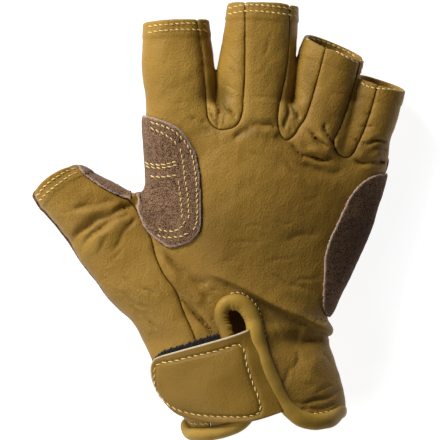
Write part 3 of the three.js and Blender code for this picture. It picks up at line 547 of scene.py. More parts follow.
# Slow uneven swell of worn leather: a few waves of random direction added up
def swell(length, count, seed):
    dice = np.random.default_rng(seed)
    total = np.zeros(mapX.shape)
    for _ in range(count):
        angle, phase = dice.uniform(0, np.pi), dice.uniform(0, 2 * np.pi)
        wave = length * dice.uniform(0.6, 1.6)
        total += np.sin((mapX * np.cos(angle) + mapY * np.sin(angle)) * 2 * np.pi / wave + phase)
    return (total / np.sqrt(count)).astype(np.float32)


folds, creaseShadeMap = foldHeights()
folds += 0.12 * swell(16, 9, 3) + 0.05 * swell(6, 12, 5)
foldLift = folds[..., None] * ramp(5.0, 15.0, heights)  # none low on the sides
inner -= foldLift
outer -= foldLift

# Seams lie in a narrow groove in a wide dip, both shallower at the hems; the seam round the sides is a groove too
seamGroove = {
    "depth": 0.42, "width": 0.5, "atHem": 0.4, "dip": 0.42, "dipWidth": 1.8, "dipAtHem": 0.75,
    "low": 10.0, "high": 13.0, "level": 0.5, "levelWidth": 0.6,
}
nearSeam = np.minimum.reduce([np.abs(region) for region in seamRegions.values()])
groove = seamGroove["depth"] * np.exp(-(nearSeam / seamGroove["width"]) ** 2)
groove *= 1 - seamGroove["atHem"] * hemMap
dip = seamGroove["dip"] * np.exp(-(nearSeam / seamGroove["dipWidth"]) ** 2)
dip *= 1 - seamGroove["dipAtHem"] * hemMap
overSeam = ramp(seamGroove["low"], seamGroove["high"], heights)
outer += (groove + dip)[..., None] * overSeam
inner += dip[..., None] * overSeam
levelSeam = np.exp(-((heights - hand["seamHeight"]) / seamGroove["levelWidth"]) ** 2)
outer += seamGroove["level"] * levelSeam * ramp(-1.0, 1.0, seamRegions["thumb"])[..., None]
print("stage: folds and seams")

# Skins: a closed mesh where a field of distances changes sign. One point in each cell that the surface crosses, at
# the mean of the crossings of its edges, joined across each grid edge that it crosses; the points are then moved
# onto the surface along its slope.
surfacing = {"moves": 3, "pull": 0.8, "farthest": 0.4, "margin": 0.02}


def skin(field):
    marked = np.argwhere(field < 0)
    low = np.maximum(marked.min(0) - 2, 0)
    high = np.minimum(marked.max(0) + 3, np.array(field.shape))
    field = np.pad(field[tuple(slice(a, b) for a, b in zip(low, high))], 1, constant_values=1.0)
    low = low - 1
    inside = field < 0
    size = np.array(field.shape)
    corners = np.array([(i, j, k) for i in (0, 1) for j in (0, 1) for k in (0, 1)])
    count = sum(
        inside[i:size[0] - 1 + i, j:size[1] - 1 + j, k:size[2] - 1 + k].astype(np.int8) for i, j, k in corners
    )
    cells = np.argwhere((count > 0) & (count < 8))
    flat = np.ravel_multi_index(cells.T, field.shape)
    steps = corners @ np.array([size[1] * size[2], size[2], 1])
    values = field.ravel()[flat[:, None] + steps[None, :]].astype(float)
    places = np.zeros((len(cells), 3))
    hits = np.zeros(len(cells))
    for a, corner in enumerate(corners):
        for axis in np.flatnonzero(corner == 0):
            b = a + (4, 2, 1)[axis]
            crossing = (values[:, a] < 0) != (values[:, b] < 0)
            place = np.repeat(corner[None, :].astype(float), len(cells), 0)
            place[:, axis] = values[:, a] / np.where(crossing, values[:, a] - values[:, b], 1)
            places += np.where(crossing[:, None], place, 0)
            hits += crossing
    places /= hits[:, None]
    margin, farthest = surfacing["margin"], surfacing["farthest"]
    for _ in range(surfacing["moves"]):
        weights = [np.where(corners[:, k], places[:, k:k + 1], 1 - places[:, k:k + 1]) for k in range(3)]
        value = (weights[0] * weights[1] * weights[2] * values).sum(1)
        slope = np.stack([
            (np.where(corners[:, k], 1.0, -1.0) * weights[k - 2] * weights[k - 1] * values).sum(1) for k in range(3)
        ], 1)
        move = value[:, None] * slope / np.maximum((slope ** 2).sum(1), 1e-3)[:, None]
        places = np.clip(places - surfacing["pull"] * np.clip(move, -farthest, farthest), margin, 1 - margin)
    number = np.full(field.shape, -1, np.int64)
    number[tuple(cells.T)] = np.arange(len(cells))
    faces = []
    for axis in range(3):
        first, second = [k for k in range(3) if k != axis]
        start = [slice(1, -1)] * 3
        start[axis] = slice(0, -1)
        end = list(start)
        end[axis] = slice(1, None)
        a, b = inside[tuple(start)], inside[tuple(end)]
        edges = np.argwhere(a != b)
        leaving = a[tuple(edges.T)]
        edges = edges + np.array([0 if k == axis else 1 for k in range(3)])
        around = []
        for u, v in ((1, 1), (0, 1), (0, 0), (1, 0)):
            shift = np.zeros(3, int)
            shift[first], shift[second] = -u, -v
            around.append(number[tuple((edges + shift).T)])
        quads = np.stack(around, 1)
        turned = leaving if axis != 1 else ~leaving
        quads[~turned] = quads[~turned][:, ::-1]
        faces.append(quads)
    faces = np.concatenate(faces)
    origin = np.array([axisX[0], axisY[0], axisZ[0]])
    return (cells + low + places) * grid["step"] + origin, faces[(faces >= 0).all(1)]


# The map's value at places in millimetres
def mapAt(values, places):
    u = np.clip((places[:, 0] - axisX[0]) / grid["step"], 0, len(axisX) - 1.001)
    v = np.clip((places[:, 1] - axisY[0]) / grid["step"], 0, len(axisY) - 1.001)
    i, j = u.astype(int), v.astype(int)
    u, v = u - i, v - j
    near = values[i, j] * (1 - v) + values[i, j + 1] * v
    return near * (1 - u) + (values[i + 1, j] * (1 - v) + values[i + 1, j + 1] * v) * u


def addMesh(name, points, faces, material):
    mesh = bpy.data.meshes.new(name)
    mesh.from_pydata((np.asarray(points) * toMetres).tolist(), [], faces)
    mesh.polygons.foreach_set("use_smooth", np.ones(len(mesh.polygons), bool))
    mesh.update()
    mesh.materials.append(material)
    piece = bpy.data.objects.new(name, mesh)
    bpy.context.scene.collection.objects.link(piece)
    return piece


surfaces = {}


# A piece of four-sided faces that takes the place of solids of the frame; masks are values at its points
def addPiece(name, points, faces, material, replaced, masks=None):
    surfaces[name] = (points, faces)
    piece = addMesh(name, points, faces.tolist(), material)
    for key, value in (masks or {}).items():
        attribute = piece.data.attributes.new(key, "FLOAT", "POINT")
        attribute.data.foreach_set("value", np.asarray(value, np.float32))
    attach(piece, "root")
    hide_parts(*replaced)
    print(f"piece: {name} {2 * len(faces)} triangles")


# Materials
def newMaterial(name):
    material = bpy.data.materials.new(name)
    material.use_nodes = True
    return material, material.node_tree.nodes, material.node_tree.nodes["Principled BSDF"]


# Links the sockets given as outputs and sets the others
def setInputs(node, inputs):
    for key, value in inputs.items():
        if isinstance(value, bpy.types.NodeSocket):
            node.id_data.links.new(value, node.inputs[key])
        else:
            node.inputs[key].default_value = (*value, 1) if isinstance(value, tuple) else value


def addNode(nodes, kind, inputs, **settings):
    node = nodes.new("ShaderNode" + kind)
    for key, value in settings.items():
        setattr(node, key, value)
    setInputs(node, inputs)
    return node


def addMath(nodes, operation, *values):
    return addNode(nodes, "Math", dict(enumerate(values)), operation=operation).outputs[0]


def addMix(nodes, factor, first, second, blend="MIX"):
    inputs = {0: factor, 6: first, 7: second}
    return addNode(nodes, "Mix", inputs, data_type="RGBA", blend_type=blend).outputs[2]


def addRamp(nodes, factor, *stops):
    node = addNode(nodes, "ValToRGB", {0: factor})
    for element, (place, colour) in zip(node.color_ramp.elements, stops):
        element.position = place
        element.color = (*colour, 1)
    return node.outputs[0]


def addMask(nodes, name):
    return addNode(nodes, "Attribute", {}, attribute_name=name).outputs["Fac"]


def addBump(nodes, height, strength, distance):
    return addNode(nodes, "Bump", {"Height": height, "Strength": strength, "Distance": distance}).outputs[0]


def newGroup(name, inputs, outputs):
    group = bpy.data.node_groups.new(name, "ShaderNodeTree")
    for title, default in inputs.items():
        socket = group.interface.new_socket(title, in_out="INPUT", socket_type="NodeSocketFloat")
        socket.default_value = default
    for title in outputs:
        group.interface.new_socket(title, in_out="OUTPUT", socket_type="NodeSocketFloat")
    return group, group.nodes, group.nodes.new("NodeGroupInput").outputs, group.nodes.new("NodeGroupOutput")


# Shader group: pebbled grain, fine creases and slow colour patches on the object's own coordinates
def makeGrainGroup():
    group, nodes, sizes, end = newGroup(
        "leatherGrain", {"Pebble Size": 1300, "Crease Size": 1400, "Patch Size": 30}, ("Height", "Patches", "Pores"),
    )
    place = nodes.new("ShaderNodeTexCoord").outputs["Object"]
    bend = addNode(nodes, "TexNoise", {"Vector": place, "Scale": 350, "Detail": 2})
    bent = addNode(nodes, "Mix", {"Factor": 0.0015, 4: place, 5: bend.outputs["Color"]}, data_type="VECTOR")
    pebbles = addNode(
        nodes, "TexVoronoi", {"Vector": bent.outputs[1], "Scale": sizes["Pebble Size"], "Smoothness": 0.6},
        feature="SMOOTH_F1",
    ).outputs["Distance"]
    creases = addNode(
        nodes, "TexNoise", {"Vector": place, "Scale": sizes["Crease Size"], "Detail": 2, "Roughness": 0.5},
    ).outputs["Fac"]
    patches = addNode(nodes, "TexNoise", {"Vector": place, "Scale": sizes["Patch Size"], "Detail": 4}).outputs["Fac"]
    wrinkles = addNode(
        nodes, "TexNoise", {"Vector": place, "Scale": 240, "Detail": 2, "Distortion": 0.4},
        noise_type="RIDGED_MULTIFRACTAL",
    ).outputs["Fac"]
    lines = addMath(nodes, "MULTIPLY_ADD", wrinkles, -0.22, addMath(nodes, "MULTIPLY", pebbles, 0.55))
    total = addMath(nodes, "MULTIPLY_ADD", creases, 0.9, lines)
    setInputs(end, {"Height": total, "Patches": patches, "Pores": pebbles})
    return group


# Shader group: short upright fibres of suede, dark and light
def makeNapGroup():
    group, nodes, sizes, end = newGroup("suedeNap", {"Fibre Size": 2100}, ("Height", "Shade"))
    place = nodes.new("ShaderNodeTexCoord").outputs["Object"]
    fibres = addNode(
        nodes, "TexNoise", {"Vector": place, "Scale": sizes["Fibre Size"], "Detail": 1, "Roughness": 0.75},
    ).outputs["Fac"]
    clumps = addNode(nodes, "TexNoise", {"Vector": place, "Scale": 520, "Detail": 3}).outputs["Fac"]
    shade = addMath(nodes, "MULTIPLY_ADD", fibres, 0.75, addMath(nodes, "MULTIPLY", clumps, 0.25))
    setInputs(end, {"Height": fibres, "Shade": shade})
    return group


grainGroup = makeGrainGroup()
napGroup = makeNapGroup()
# Tints: the first is painted shade on slopes and in hollows, the crease tint is painted shade in creases and at
# ridge feet, the seam tint is the seams' dark colour and also painted shade in the edging's pleats, raw is the light
# cut edge
leatherTints = {
    "paintedShade": (0.085, 0.046, 0.005), "crease": (0.1, 0.055, 0.008), "seam": (0.05, 0.026, 0.005),
    "raw": (0.5, 0.4, 0.27),
}


# Full-grain leather: colour patches and dark pores, then in turn painted shade on slopes turned from the light and
# in hollows, painted shade in the creases, the seams' dark colour with painted shade in the edging's pleats, and
# light raw edges
def makeLeather(name, light, dark, bump=0.3, gloss=0.5):
    material, nodes, shader = newMaterial(name)
    grain = addNode(nodes, "Group", {}, node_tree=grainGroup).outputs
    pores = addRamp(nodes, grain["Height"], (0.05, (0.72, 0.72, 0.72)), (0.6, (1.14, 1.14, 1.14)))
    colour = addRamp(nodes, grain["Patches"], (0.34, dark), (0.66, light))
    colour = addMix(nodes, 1.0, colour, pores, "MULTIPLY")
    masks = {key: addMask(nodes, key) for key in leatherTints}
    masks["seam"] = addRamp(nodes, masks["seam"], (0.72, (0, 0, 0)), (0.93, (0.8, 0.8, 0.8)))
    for key, tint in leatherTints.items():
        colour = addMix(nodes, masks[key], colour, tint)
    rough = addNode(nodes, "MapRange", {
        "Value": grain["Patches"], "From Min": 0.3, "From Max": 0.7, "To Min": gloss + 0.08, "To Max": gloss - 0.05,
    }).outputs[0]
    relief = addBump(nodes, grain["Height"], bump, 0.0009)
    setInputs(shader, {"Base Color": colour, "Roughness": rough, "Normal": relief, "Specular IOR Level": 0.16})
    return material


def makeSuede(name, light, dark, edgeColour):
    material, nodes, shader = newMaterial(name)
    nap = addNode(nodes, "Group", {}, node_tree=napGroup).outputs
    colour = addRamp(nodes, nap["Shade"], (0.36, dark), (0.64, light))
    # painted shade where the shade map darkens the suede
    colour = addMix(nodes, addMask(nodes, "paintedShade"), colour, dark)
    colour = addMix(nodes, addMask(nodes, "raw"), colour, edgeColour)
    setInputs(shader, {
        "Base Color": colour, "Normal": addBump(nodes, nap["Height"], 0.7, 0.0008), "Roughness": 0.95,
        "Specular IOR Level": 0.1, "Sheen Weight": 0.1, "Sheen Roughness": 0.5,
    })
    return material


def makeThread(name, light, dark):
    material, nodes, shader = newMaterial(name)
    place = nodes.new("ShaderNodeTexCoord").outputs["Object"]
    noise = addNode(nodes, "TexNoise", {"Vector": place, "Scale": 2200}).outputs["Fac"]
    colour = addRamp(nodes, noise, (0.35, dark), (0.65, light))
    setInputs(shader, {"Base Color": colour, "Normal": addBump(nodes, noise, 0.5, 0.0002), "Roughness": 0.6})
    return material


tanLeather = makeLeather("tanLeather", (0.285, 0.163, 0.027), (0.212, 0.114, 0.0155))
# A slightly lighter copy of the tan leather for the fourchettes: painted light on strips that face away from the
# lamp
litSideLeather = makeLeather("litSideLeather", (0.3, 0.173, 0.029), (0.225, 0.122, 0.017))
strapLeather = makeLeather("strapLeather", (0.202, 0.113, 0.015), (0.162, 0.089, 0.011), bump=0.2)
rollLeather = makeLeather("rollLeather", (0.33, 0.2, 0.031), (0.25, 0.147, 0.02), bump=0.12, gloss=0.48)
brownSuede = makeSuede("brownSuede", (0.31, 0.175, 0.095), (0.02, 0.009, 0.003), (0.42, 0.3, 0.235))
blackFabric = makeSuede("blackFabric", (0.024, 0.022, 0.021), (0.005, 0.005, 0.005), (0.024, 0.022, 0.021))
paleThread = makeThread("paleThread", (0.80, 0.60, 0.24), (0.55, 0.38, 0.11))
print("stage: materials")

# The leather panels, cut from one shell by the slit, the wrist and the seams
leather = {
    "cutRound": 0.4, "farAway": 110.0, "seamShade": 1.35, "sideGap": 2, "sideLow": 10, "sideHigh": 13,
    "levelGap": 0.1, "topLow": 9, "topHigh": 14, "cuffBase": 0.06, "cuffThick": 1.03,
}


# Distance from the part of the plan beyond a line that crosses the hand
def beyond(table):
    points = smoothLine(onPlan(table), 1.0)
    if points[0, 0] > points[-1, 0]:
        points = points[::-1]
    away = leather["farAway"]
    return regionDistance(np.concatenate([
        [(-away, -away), (-away, points[0, 1])], points, [(away, points[-1, 1]), (away, -away)],
    ]))


# A map's values at points, faded out down the sides
def onTop(values, points):
    return mapAt(values, points) * ramp(leather["topLow"], leather["topHigh"], points[:, 2])


cuffMiddle = hand["restHeight"] + (leather["cuffBase"] + leather["cuffThick"] / 2) * hand["palmDepth"]
cut = np.where(heights > cuffMiddle, -beyond(slitTable)[..., None], -beyond(underTable)[..., None])
shell = smoothMax(np.maximum(outer, -(inner + hand["leather"])), cut, leather["cutRound"])

# Painted shade: darker patches where the leather slopes away from the light, in the finger crotches and in hollows;
# middle and reach in the photograph's pixels, and how much
paintedShadeTable = [
    (212, 228, 14, 32, 0.42), (275, 236, 72, 34, 0.38), (340, 240, 46, 44, 0.42), (275, 276, 50, 16, 0.2),
    (298, 338, 34, 26, 0.5), (218, 326, 11, 18, 0.55), (302, 395, 34, 14, 0.45), (272, 376, 12, 44, 0.35),
    (222, 98, 8, 20, 0.8), (291, 108, 8, 13, 0.6), (308, 82, 8, 34, 0.42), (361, 100, 7, 22, 0.4),
    (328, 116, 9, 14, 0.4), (372, 150, 20, 8, 0.5), (250, 132, 14, 6, 0.45), (268, 82, 9, 36, 0.25),
    (208, 128, 12, 10, 0.35), (178, 86, 18, 12, 0.2), (150, 333, 30, 9, 0.3), (372, 240, 24, 76, 0.36),
    (282, 130, 26, 18, 0.2),
]
paintedShadeMap = np.zeros(mapX.shape)
for px, py, reachX, reachY, share in paintedShadeTable:
    middle = fromPhoto((px, py))
    reaches = (((mapX - middle[0]) / reachX) ** 2 + ((mapY - middle[1]) / reachY) ** 2) / photo["scale"] ** 2
    paintedShadeMap += share * np.exp(-reaches) * (1 - paintedShadeMap)
panels = {
    "back_panel": -np.minimum.reduce([seamRegions[name] for name in seamLines]),
    "thumb_panel": seamRegions["thumb"],
    "palm_panel": -seamRegions["thumb"],
    "fourchette_index_middle": seamRegions["indexMiddle"],
    "fourchette_middle_ring": seamRegions["middleRing"],
    "fourchette_ring_little": seamRegions["ringLittle"],
}
above = (hand["seamHeight"] - heights).astype(np.float32)
for name, region in panels.items():
    field = np.maximum(shell, region[..., None])
    if name != "thumb_panel":
        field = np.maximum(field, -above if name == "palm_panel" else above)
    points, faces = skin(field)
    z = points[:, 2]
    toSeam = mapAt(nearSeam, points) + leather["sideGap"] * ramp(leather["sideHigh"], leather["sideLow"], z)
    if name != "thumb_panel":
        toSeam = np.minimum(toSeam, np.abs(z - hand["seamHeight"]) + leather["levelGap"])
    # painted shade in creases, at ridge feet and on slopes turned from the light; the seam mask is the seams' dark
    # colour
    masks = {
        "seam": 1 - np.clip(toSeam / leather["seamShade"], 0, 1), "crease": onTop(creaseShadeMap, points),
        "paintedShade": onTop(paintedShadeMap, points),
    }
    look = litSideLeather if name.startswith("fourchette") else tanLeather
    addPiece(name.replace("_", "-") + "-skin", points, faces, look, (name,), masks)
leatherNames = list(surfaces)
print("stage: leather panels")

# The suede overlays: a thin layer on the shell, inside their outlines on top and below, with a light raw edge
overlay = {
    "lift": 0.1, "round": 0.3, "edgeRound": 2.2, "apart": 0.2, "rawStart": -1.2, "rawEnd": -1.7, "ragged": 0.15,
    "rawShade": 0.9,
}
cover = smoothMax(outer - overlay["lift"] - hand["suede"], overlay["lift"] - outer, overlay["round"])
overlays = {
    "palm_suede": (np.minimum(suedeRegions["index"], suedeRegions["little"]), suedeRegions["under"]),
    "thumb_suede": (suedeRegions["strip"], suedeRegions["thumbUnder"]),
}
palmSide = np.minimum(suedeRegions["index"], suedeRegions["under"])
for name, (top, under) in overlays.items():
    plan = np.where(above < 0, top[..., None], under[..., None])
    field = smoothMax(cover, plan, overlay["edgeRound"])
    if name == "thumb_suede":
        field = np.maximum(field, overlay["apart"] - palmSide[..., None])
    points, faces = skin(field)
    x, y, z = points.T
    edge = np.where(z > hand["seamHeight"], mapAt(top, points), mapAt(under, points))
    edge += overlay["ragged"] * np.sin(y * 3.1) * np.sin(x * 2.3)
    # the suede gets painted shade on slopes turned from the light
    masks = {
        "raw": overlay["rawShade"] * ramp(overlay["rawEnd"], overlay["rawStart"], edge),
        "paintedShade": onTop(paintedShadeMap, points),
    }
    addPiece(name.replace("_", "-") + "-nap", points, faces, brownSuede, (name,), masks)
print("stage: suede overlays")


# The edging, the strap and its fastening pieces lie on the palm's section moved out; turn goes round it from the
# little finger's side
def palmPoint(turn, y, offset):
    left, right, low, height, fall = palmSection(y)
    left, right, low = left - offset, right + offset, low - offset
    power = 2 / hand["palmRoundness"]
    across = np.sign(np.cos(turn)) * np.abs(np.cos(turn)) ** power
    up = np.sign(np.sin(turn)) * np.abs(np.sin(turn)) ** power
    x = (left + right) / 2 + (right - left) / 2 * across
    z = low + palmHeight(height + 2 * offset, fall, across) / 2 * (1 + up)
    return np.stack([x + shiftX, y + shiftY, np.maximum(z, hand["restHeight"] - offset)], -1)


def turnAt(x, y, offset):
    left, right, _, _, _ = palmSection(y)
    share = np.clip((x - (left + right) / 2) / ((right - left) / 2 + offset), -0.999, 0.999)
    return np.arccos(np.sign(share) * np.abs(share) ** (hand["palmRoundness"] / 2))


def unit(vectors):
    return vectors / np.maximum(np.linalg.norm(vectors, axis=-1, keepdims=True), 1e-9)


def gridFaces(rows, columns, closedRows=False, closedColumns=False):
    i = np.arange(rows if closedRows else rows - 1)
    j = np.arange(columns if closedColumns else columns - 1)
    i, j = np.meshgrid(i, j, indexing="ij")
    nextI, nextJ = (i + 1) % rows, (j + 1) % columns
    corners = [i * columns + j, i * columns + nextJ, nextI * columns + nextJ, nextI * columns + j]
    return np.stack(corners, -1).reshape(-1, 4)


edging = {
    "width": 6.9, "height": 5.6, "lift": 1.0, "leftJoin": 0.8, "rightJoin": 0.85, "apart": 0.5, "steps": 620,
    "sides": 26, "pleat": 0.3, "pleatLength": 1.9, "pleatAcross": 0.9, "pleatUp": 0.7, "hollow": 1.6,
    "darkest": 0.88, "foldShare": 0.8, "pleatStart": -14, "pleatEnd": -2, "pleatLeft": 5, "pleatRight": 10,
    "pleatLeast": 0.25, "sideStart": 42, "sideEnd": 50, "sideFlat": 0.3, "sideIn": 1.7,
}


# A puffy oval carried round the slit and the wrist opening, with small pleats where it turns tightly
def makeEdging():
    lift = edging["lift"] - hand["leather"] / 2
    table = [(*row, 0) for row in slitTable]
    table.append((palmTable[0, 1] - 1, underTable[0, 1], edging["leftJoin"], 0))
    table += [(*row, 1) for row in underTable[1:-1]]
    table.append((palmTable[0, 2] + 1, slitTable[0, 1], edging["rightJoin"], 0))
    table = np.array(table)
    y = riseToY(table[:, 1])
    turn = turnAt(table[:, 0] * hand["palmBreadth"], y, 0)
    turn = np.where(table[:, 3] > 0, -turn, turn)
    middle = palmPoint(turn, y, lift)
    apart = np.linalg.norm(middle - np.roll(middle, 1, 0), axis=1) > edging["apart"]
    table, turn, y, middle = table[apart], turn[apart], y[apart], middle[apart]
    out = unit(palmPoint(turn, y, lift + 1) - middle)
    runs = runsAlong(np.concatenate([middle, middle[:1]]))
    at = np.linspace(0, runs[-1], edging["steps"], endpoint=False)

    def around(values):
        wrapped = np.concatenate([values[-3:], values, values[:4]])
        places = np.concatenate([runs[-4:-1] - runs[-1], runs[:-1], runs[:4] + runs[-1]])
        return np.stack([smoothAt(places, column, at) for column in wrapped.T], 1)

    path = around(middle)
    outward = around(out)
    half = around(table[:, 2:3]) * edging["width"] / 2
    onBack = path[:, 2] > cuffMiddle
    path[:, 2] += np.where(onBack, mapAt(folds, path) * edging["foldShare"], 0)
    along = unit(np.roll(path, -1, 0) - np.roll(path, 1, 0))
    outward = unit(outward - (outward * along).sum(1, keepdims=True) * along)
    side = np.cross(along, outward)
    angle = np.linspace(0, 2 * np.pi, edging["sides"], endpoint=False)[None, :]
    run = at[:, None]
    # pleats only inside the keyhole's turn, at full height left of the middle
    least = edging["pleatLeast"]
    keyhole = ramp(edging["pleatStart"], edging["pleatEnd"], path[:, 1] - shiftY) * onBack
    keyhole = keyhole * (least + (1 - least) * ramp(edging["pleatRight"], edging["pleatLeft"], path[:, 0]))
    pleats = np.sin(run * 2 * np.pi / edging["pleatLength"] + 1.3 * np.sin(run * 0.9)) * edging["pleat"]
    pleats = pleats * keyhole[:, None] * np.clip(-np.cos(angle), 0, 1)
    uneven = 0.07 * np.sin(run * 0.3 + 0.8) + 0.04 * np.sin(run * 0.9 + np.cos(angle) * 1.3)
    bulge = uneven + pleats * edging["pleatAcross"]
    # flatter and further in at the little finger's side
    atSide = ramp(edging["sideStart"], edging["sideEnd"], path[:, 0])
    across = (half + bulge) * np.cos(angle)
    up = (edging["height"] / 2 + bulge * edging["pleatUp"]) * np.sin(angle)
    up = up * (1 - edging["sideFlat"] * atSide)[:, None]
    path[:, 0] -= edging["sideIn"] * atSide
    points = path[:, None, :] + side[:, None, :] * across[..., None] + outward[:, None, :] * up[..., None]
    # painted shade in the hollows between pleats, laid on with the dark seam colour
    hollow = np.clip(np.clip(pleats, -1, 0) * -edging["hollow"], 0, edging["darkest"])
    return points.reshape(-1, 3), gridFaces(edging["steps"], edging["sides"], True, True), hollow.ravel()


points, faces, hollow = makeEdging()
masks = {"seam": hollow, "paintedShade": onTop(paintedShadeMap, points)}
addPiece("cuff-edging", points, faces, rollLeather, ("cuff_binding",), masks)

# Upper and lower edge of each sheet: along and across for both, and how far it lies up on what is under it
strapTable = np.array([
    (0.999, 0.046, 0.999, -0.015, 1), (0.989, 0.095, 0.989, -0.124, 1), (0.965, 0.143, 0.954, -0.269, 1),
    (0.908, 0.182, 0.874, -0.411, 1), (0.807, 0.223, 0.762, -0.536, 1), (0.669, 0.276, 0.634, -0.584, 1),
    (0.519, 0.331, 0.449, -0.625, 1), (0.378, 0.385, 0.237, -0.623, 1), (0.245, 0.44, 0.051, -0.588, 0.85),
    (0.113, 0.507, -0.187, -0.487, 0.1),
])
loopTable = np.array([
    (0.985, 0.119, 0.952, -0.124, 0), (0.908, 0.215, 0.881, -0.318, 0), (0.802, 0.275, 0.766, -0.39, 0),
    (0.652, 0.34, 0.625, -0.463, 0), (0.51, 0.41, 0.449, -0.499, 0), (0.37, 0.455, 0.281, -0.475, 0),
])
hookTable = np.array([
    (0.925, 0.082, 0.908, -0.184, 1), (0.802, 0.167, 0.766, -0.342, 1), (0.652, 0.216, 0.616, -0.463, 1),
    (0.51, 0.264, 0.466, -0.499, 1), (0.422, 0.288, 0.298, -0.475, 1),
])
strap = {
    "rootX": 0.133 * hand["palmBreadth"], "rootY": -0.424 * hand["cuffLength"], "length": 45.3, "width": 33,
    "lift": 0.3, "stack": 2.6, "thickness": 1.7, "rim": 0.55, "fray": 0, "columns": 150, "rows": 110, "puff": 0.1,
    "groove": 0.32, "grooveWidth": 0.75, "dip": 0.08, "dipWidth": 2.0, "rimHeight": 0.25, "foldShare": 0.5,
}
loopBand = {"lift": 0.25, "stack": 0, "thickness": 1.0, "rim": 0.4, "fray": 0.5, "columns": 150, "rows": 50}
hookBand = {"lift": 0.3, "stack": 1.3, "thickness": 1.0, "rim": 0.4, "fray": 0.3, "columns": 120, "rows": 50}


# A sheet over the wrist between a low and a back edge; its height rises from the rim as a quarter round
def makeSheet(table, sheet, puff=None):
    nx, ny = sheet["columns"], sheet["rows"]
    u = np.linspace(0, 1, nx)
    v = (1 - np.cos(np.linspace(0, np.pi, ny))) / 2
    places = np.linspace(0, 1, len(table))
    topAlong, topSide, lowAlong, lowSide, stack = (smoothAt(places, column, u)[:, None] for column in table.T)
    x = strap["rootX"] - strap["length"] * (lowAlong + (topAlong - lowAlong) * v)
    y = strap["rootY"] + strap["width"] * (lowSide + (topSide - lowSide) * v)
    fray = sheet["fray"]
    if fray:
        dice = np.random.default_rng(11)
        threads = np.interp(u, np.linspace(0, 1, nx // 2), dice.uniform(-fray, fray, nx // 2))
        y = y + threads[:, None] * (2 * v - 1) ** 3 + 0.3 * fray * np.sin(x * 5.1)
    base = sheet["lift"] + np.clip(stack, 0, 1) * sheet["stack"]
    outline = np.stack([
        np.concatenate([part[:, -1], part[-1, ::-1][1:], part[::-1, 0][1:]]) for part in (x, y)
    ], 1)
    gaps, _, _ = lineDistance(outline, True, x, y)
    rise = np.sqrt(np.clip(1 - (1 - np.clip(gaps / sheet["rim"], 0, 1)) ** 2, 0, 1))
    turn = turnAt(x, y, base + sheet["thickness"])
    low = palmPoint(turn, y, base)
    high = palmPoint(turn, y, base + sheet["thickness"])
    fold = mapAt(folds, low.reshape(-1, 3)).reshape(x.shape) * strap["foldShare"]
    low[..., 2] += fold
    high[..., 2] += fold
    rim = strap["rimHeight"]
    top = low + (high - low) * (rim + (1 - rim) * rise + (puff(x, y) if puff else 0))[..., None]
    bottom = low + (high - low) * (rim * (1 - rise))[..., None]
    count = nx * ny
    faces = gridFaces(nx, ny)
    index = np.arange(count).reshape(nx, ny)
    edge = np.concatenate([index[:, 0], index[-1, 1:], index[-2::-1, -1], index[0, -2:0:-1]])
    following = np.roll(edge, -1)
    walls = np.stack([edge, edge + count, following + count, following], 1)
    points = np.concatenate([top.reshape(-1, 3), bottom.reshape(-1, 3)])
    faces = np.concatenate([faces, faces[:, ::-1] + count, walls])
    return points, faces, np.tile(gaps.ravel(), 2), np.tile(v, 2 * nx)

strapStitches = [
    [(154.8, 367), (154.6, 377), (156.2, 389), (163.8, 400), (176.5, 408.4), (189.3, 412), (208.4, 414.6),
     (227.6, 415.2), (250.5, 414.2), (259.4, 410.8), (260.2, 405), (257.4, 394.6), (252, 380.5), (246.6, 364.3),
     (240.6, 344.8), (239, 344), (227.6, 347), (209.7, 352), (189.3, 356.5), (171.4, 361),
     (158.5, 363.4), (155.2, 366)],
    [(241, 338.8), (240.2, 343.5)],
]
strapLine = smoothLine(fromPhoto(strapStitches[0]), 1.0) - np.array([shiftX, shiftY])
strapSwell = swell(22, 9, 21)


# The strap is softly uneven and drawn in along its stitches
def strapPuff(x, y):
    near, _, _ = lineDistance(strapLine, False, x, y)
    places = np.stack([x.ravel() + shiftX, y.ravel() + shiftY], 1)
    uneven = strap["puff"] * mapAt(strapSwell, places).reshape(x.shape)
    groove = strap["groove"] * np.exp(-(near / strap["grooveWidth"]) ** 2)
    return uneven - groove - strap["dip"] * np.exp(-(near / strap["dipWidth"]) ** 2)


# Its raw cut shows along the upper edge and, weaker, at the left end, but not beside the edging
rawCut = {
    "inner": 0.95, "outer": 0.55, "lowest": 0.35, "full": 0.8, "leftStart": -20, "leftEnd": -26, "leftShare": 0.8,
    "rightStart": 10.5, "rightEnd": 12.5,
}
points, faces, gaps, across = makeSheet(strapTable, strap, strapPuff)
x = points[:, 0]
upperEdge = ramp(rawCut["lowest"], rawCut["full"], across)
leftEnd = ramp(rawCut["leftStart"], rawCut["leftEnd"], x) * rawCut["leftShare"]
raw = ramp(rawCut["inner"], rawCut["outer"], gaps) * np.maximum(upperEdge, leftEnd)
raw = raw * ramp(rawCut["rightEnd"], rawCut["rightStart"], x)
addPiece("closing-strap", points, faces, strapLeather, ("strap",), {"raw": raw})
points, faces, _, _ = makeSheet(loopTable, loopBand)
addPiece("loop-band", points, faces, blackFabric, ("loop_patch",))
points, faces, _, _ = makeSheet(hookTable, hookBand)
addPiece("hook-band", points, faces, blackFabric, ("hook_patch",))
print("stage: edging, strap and bands")

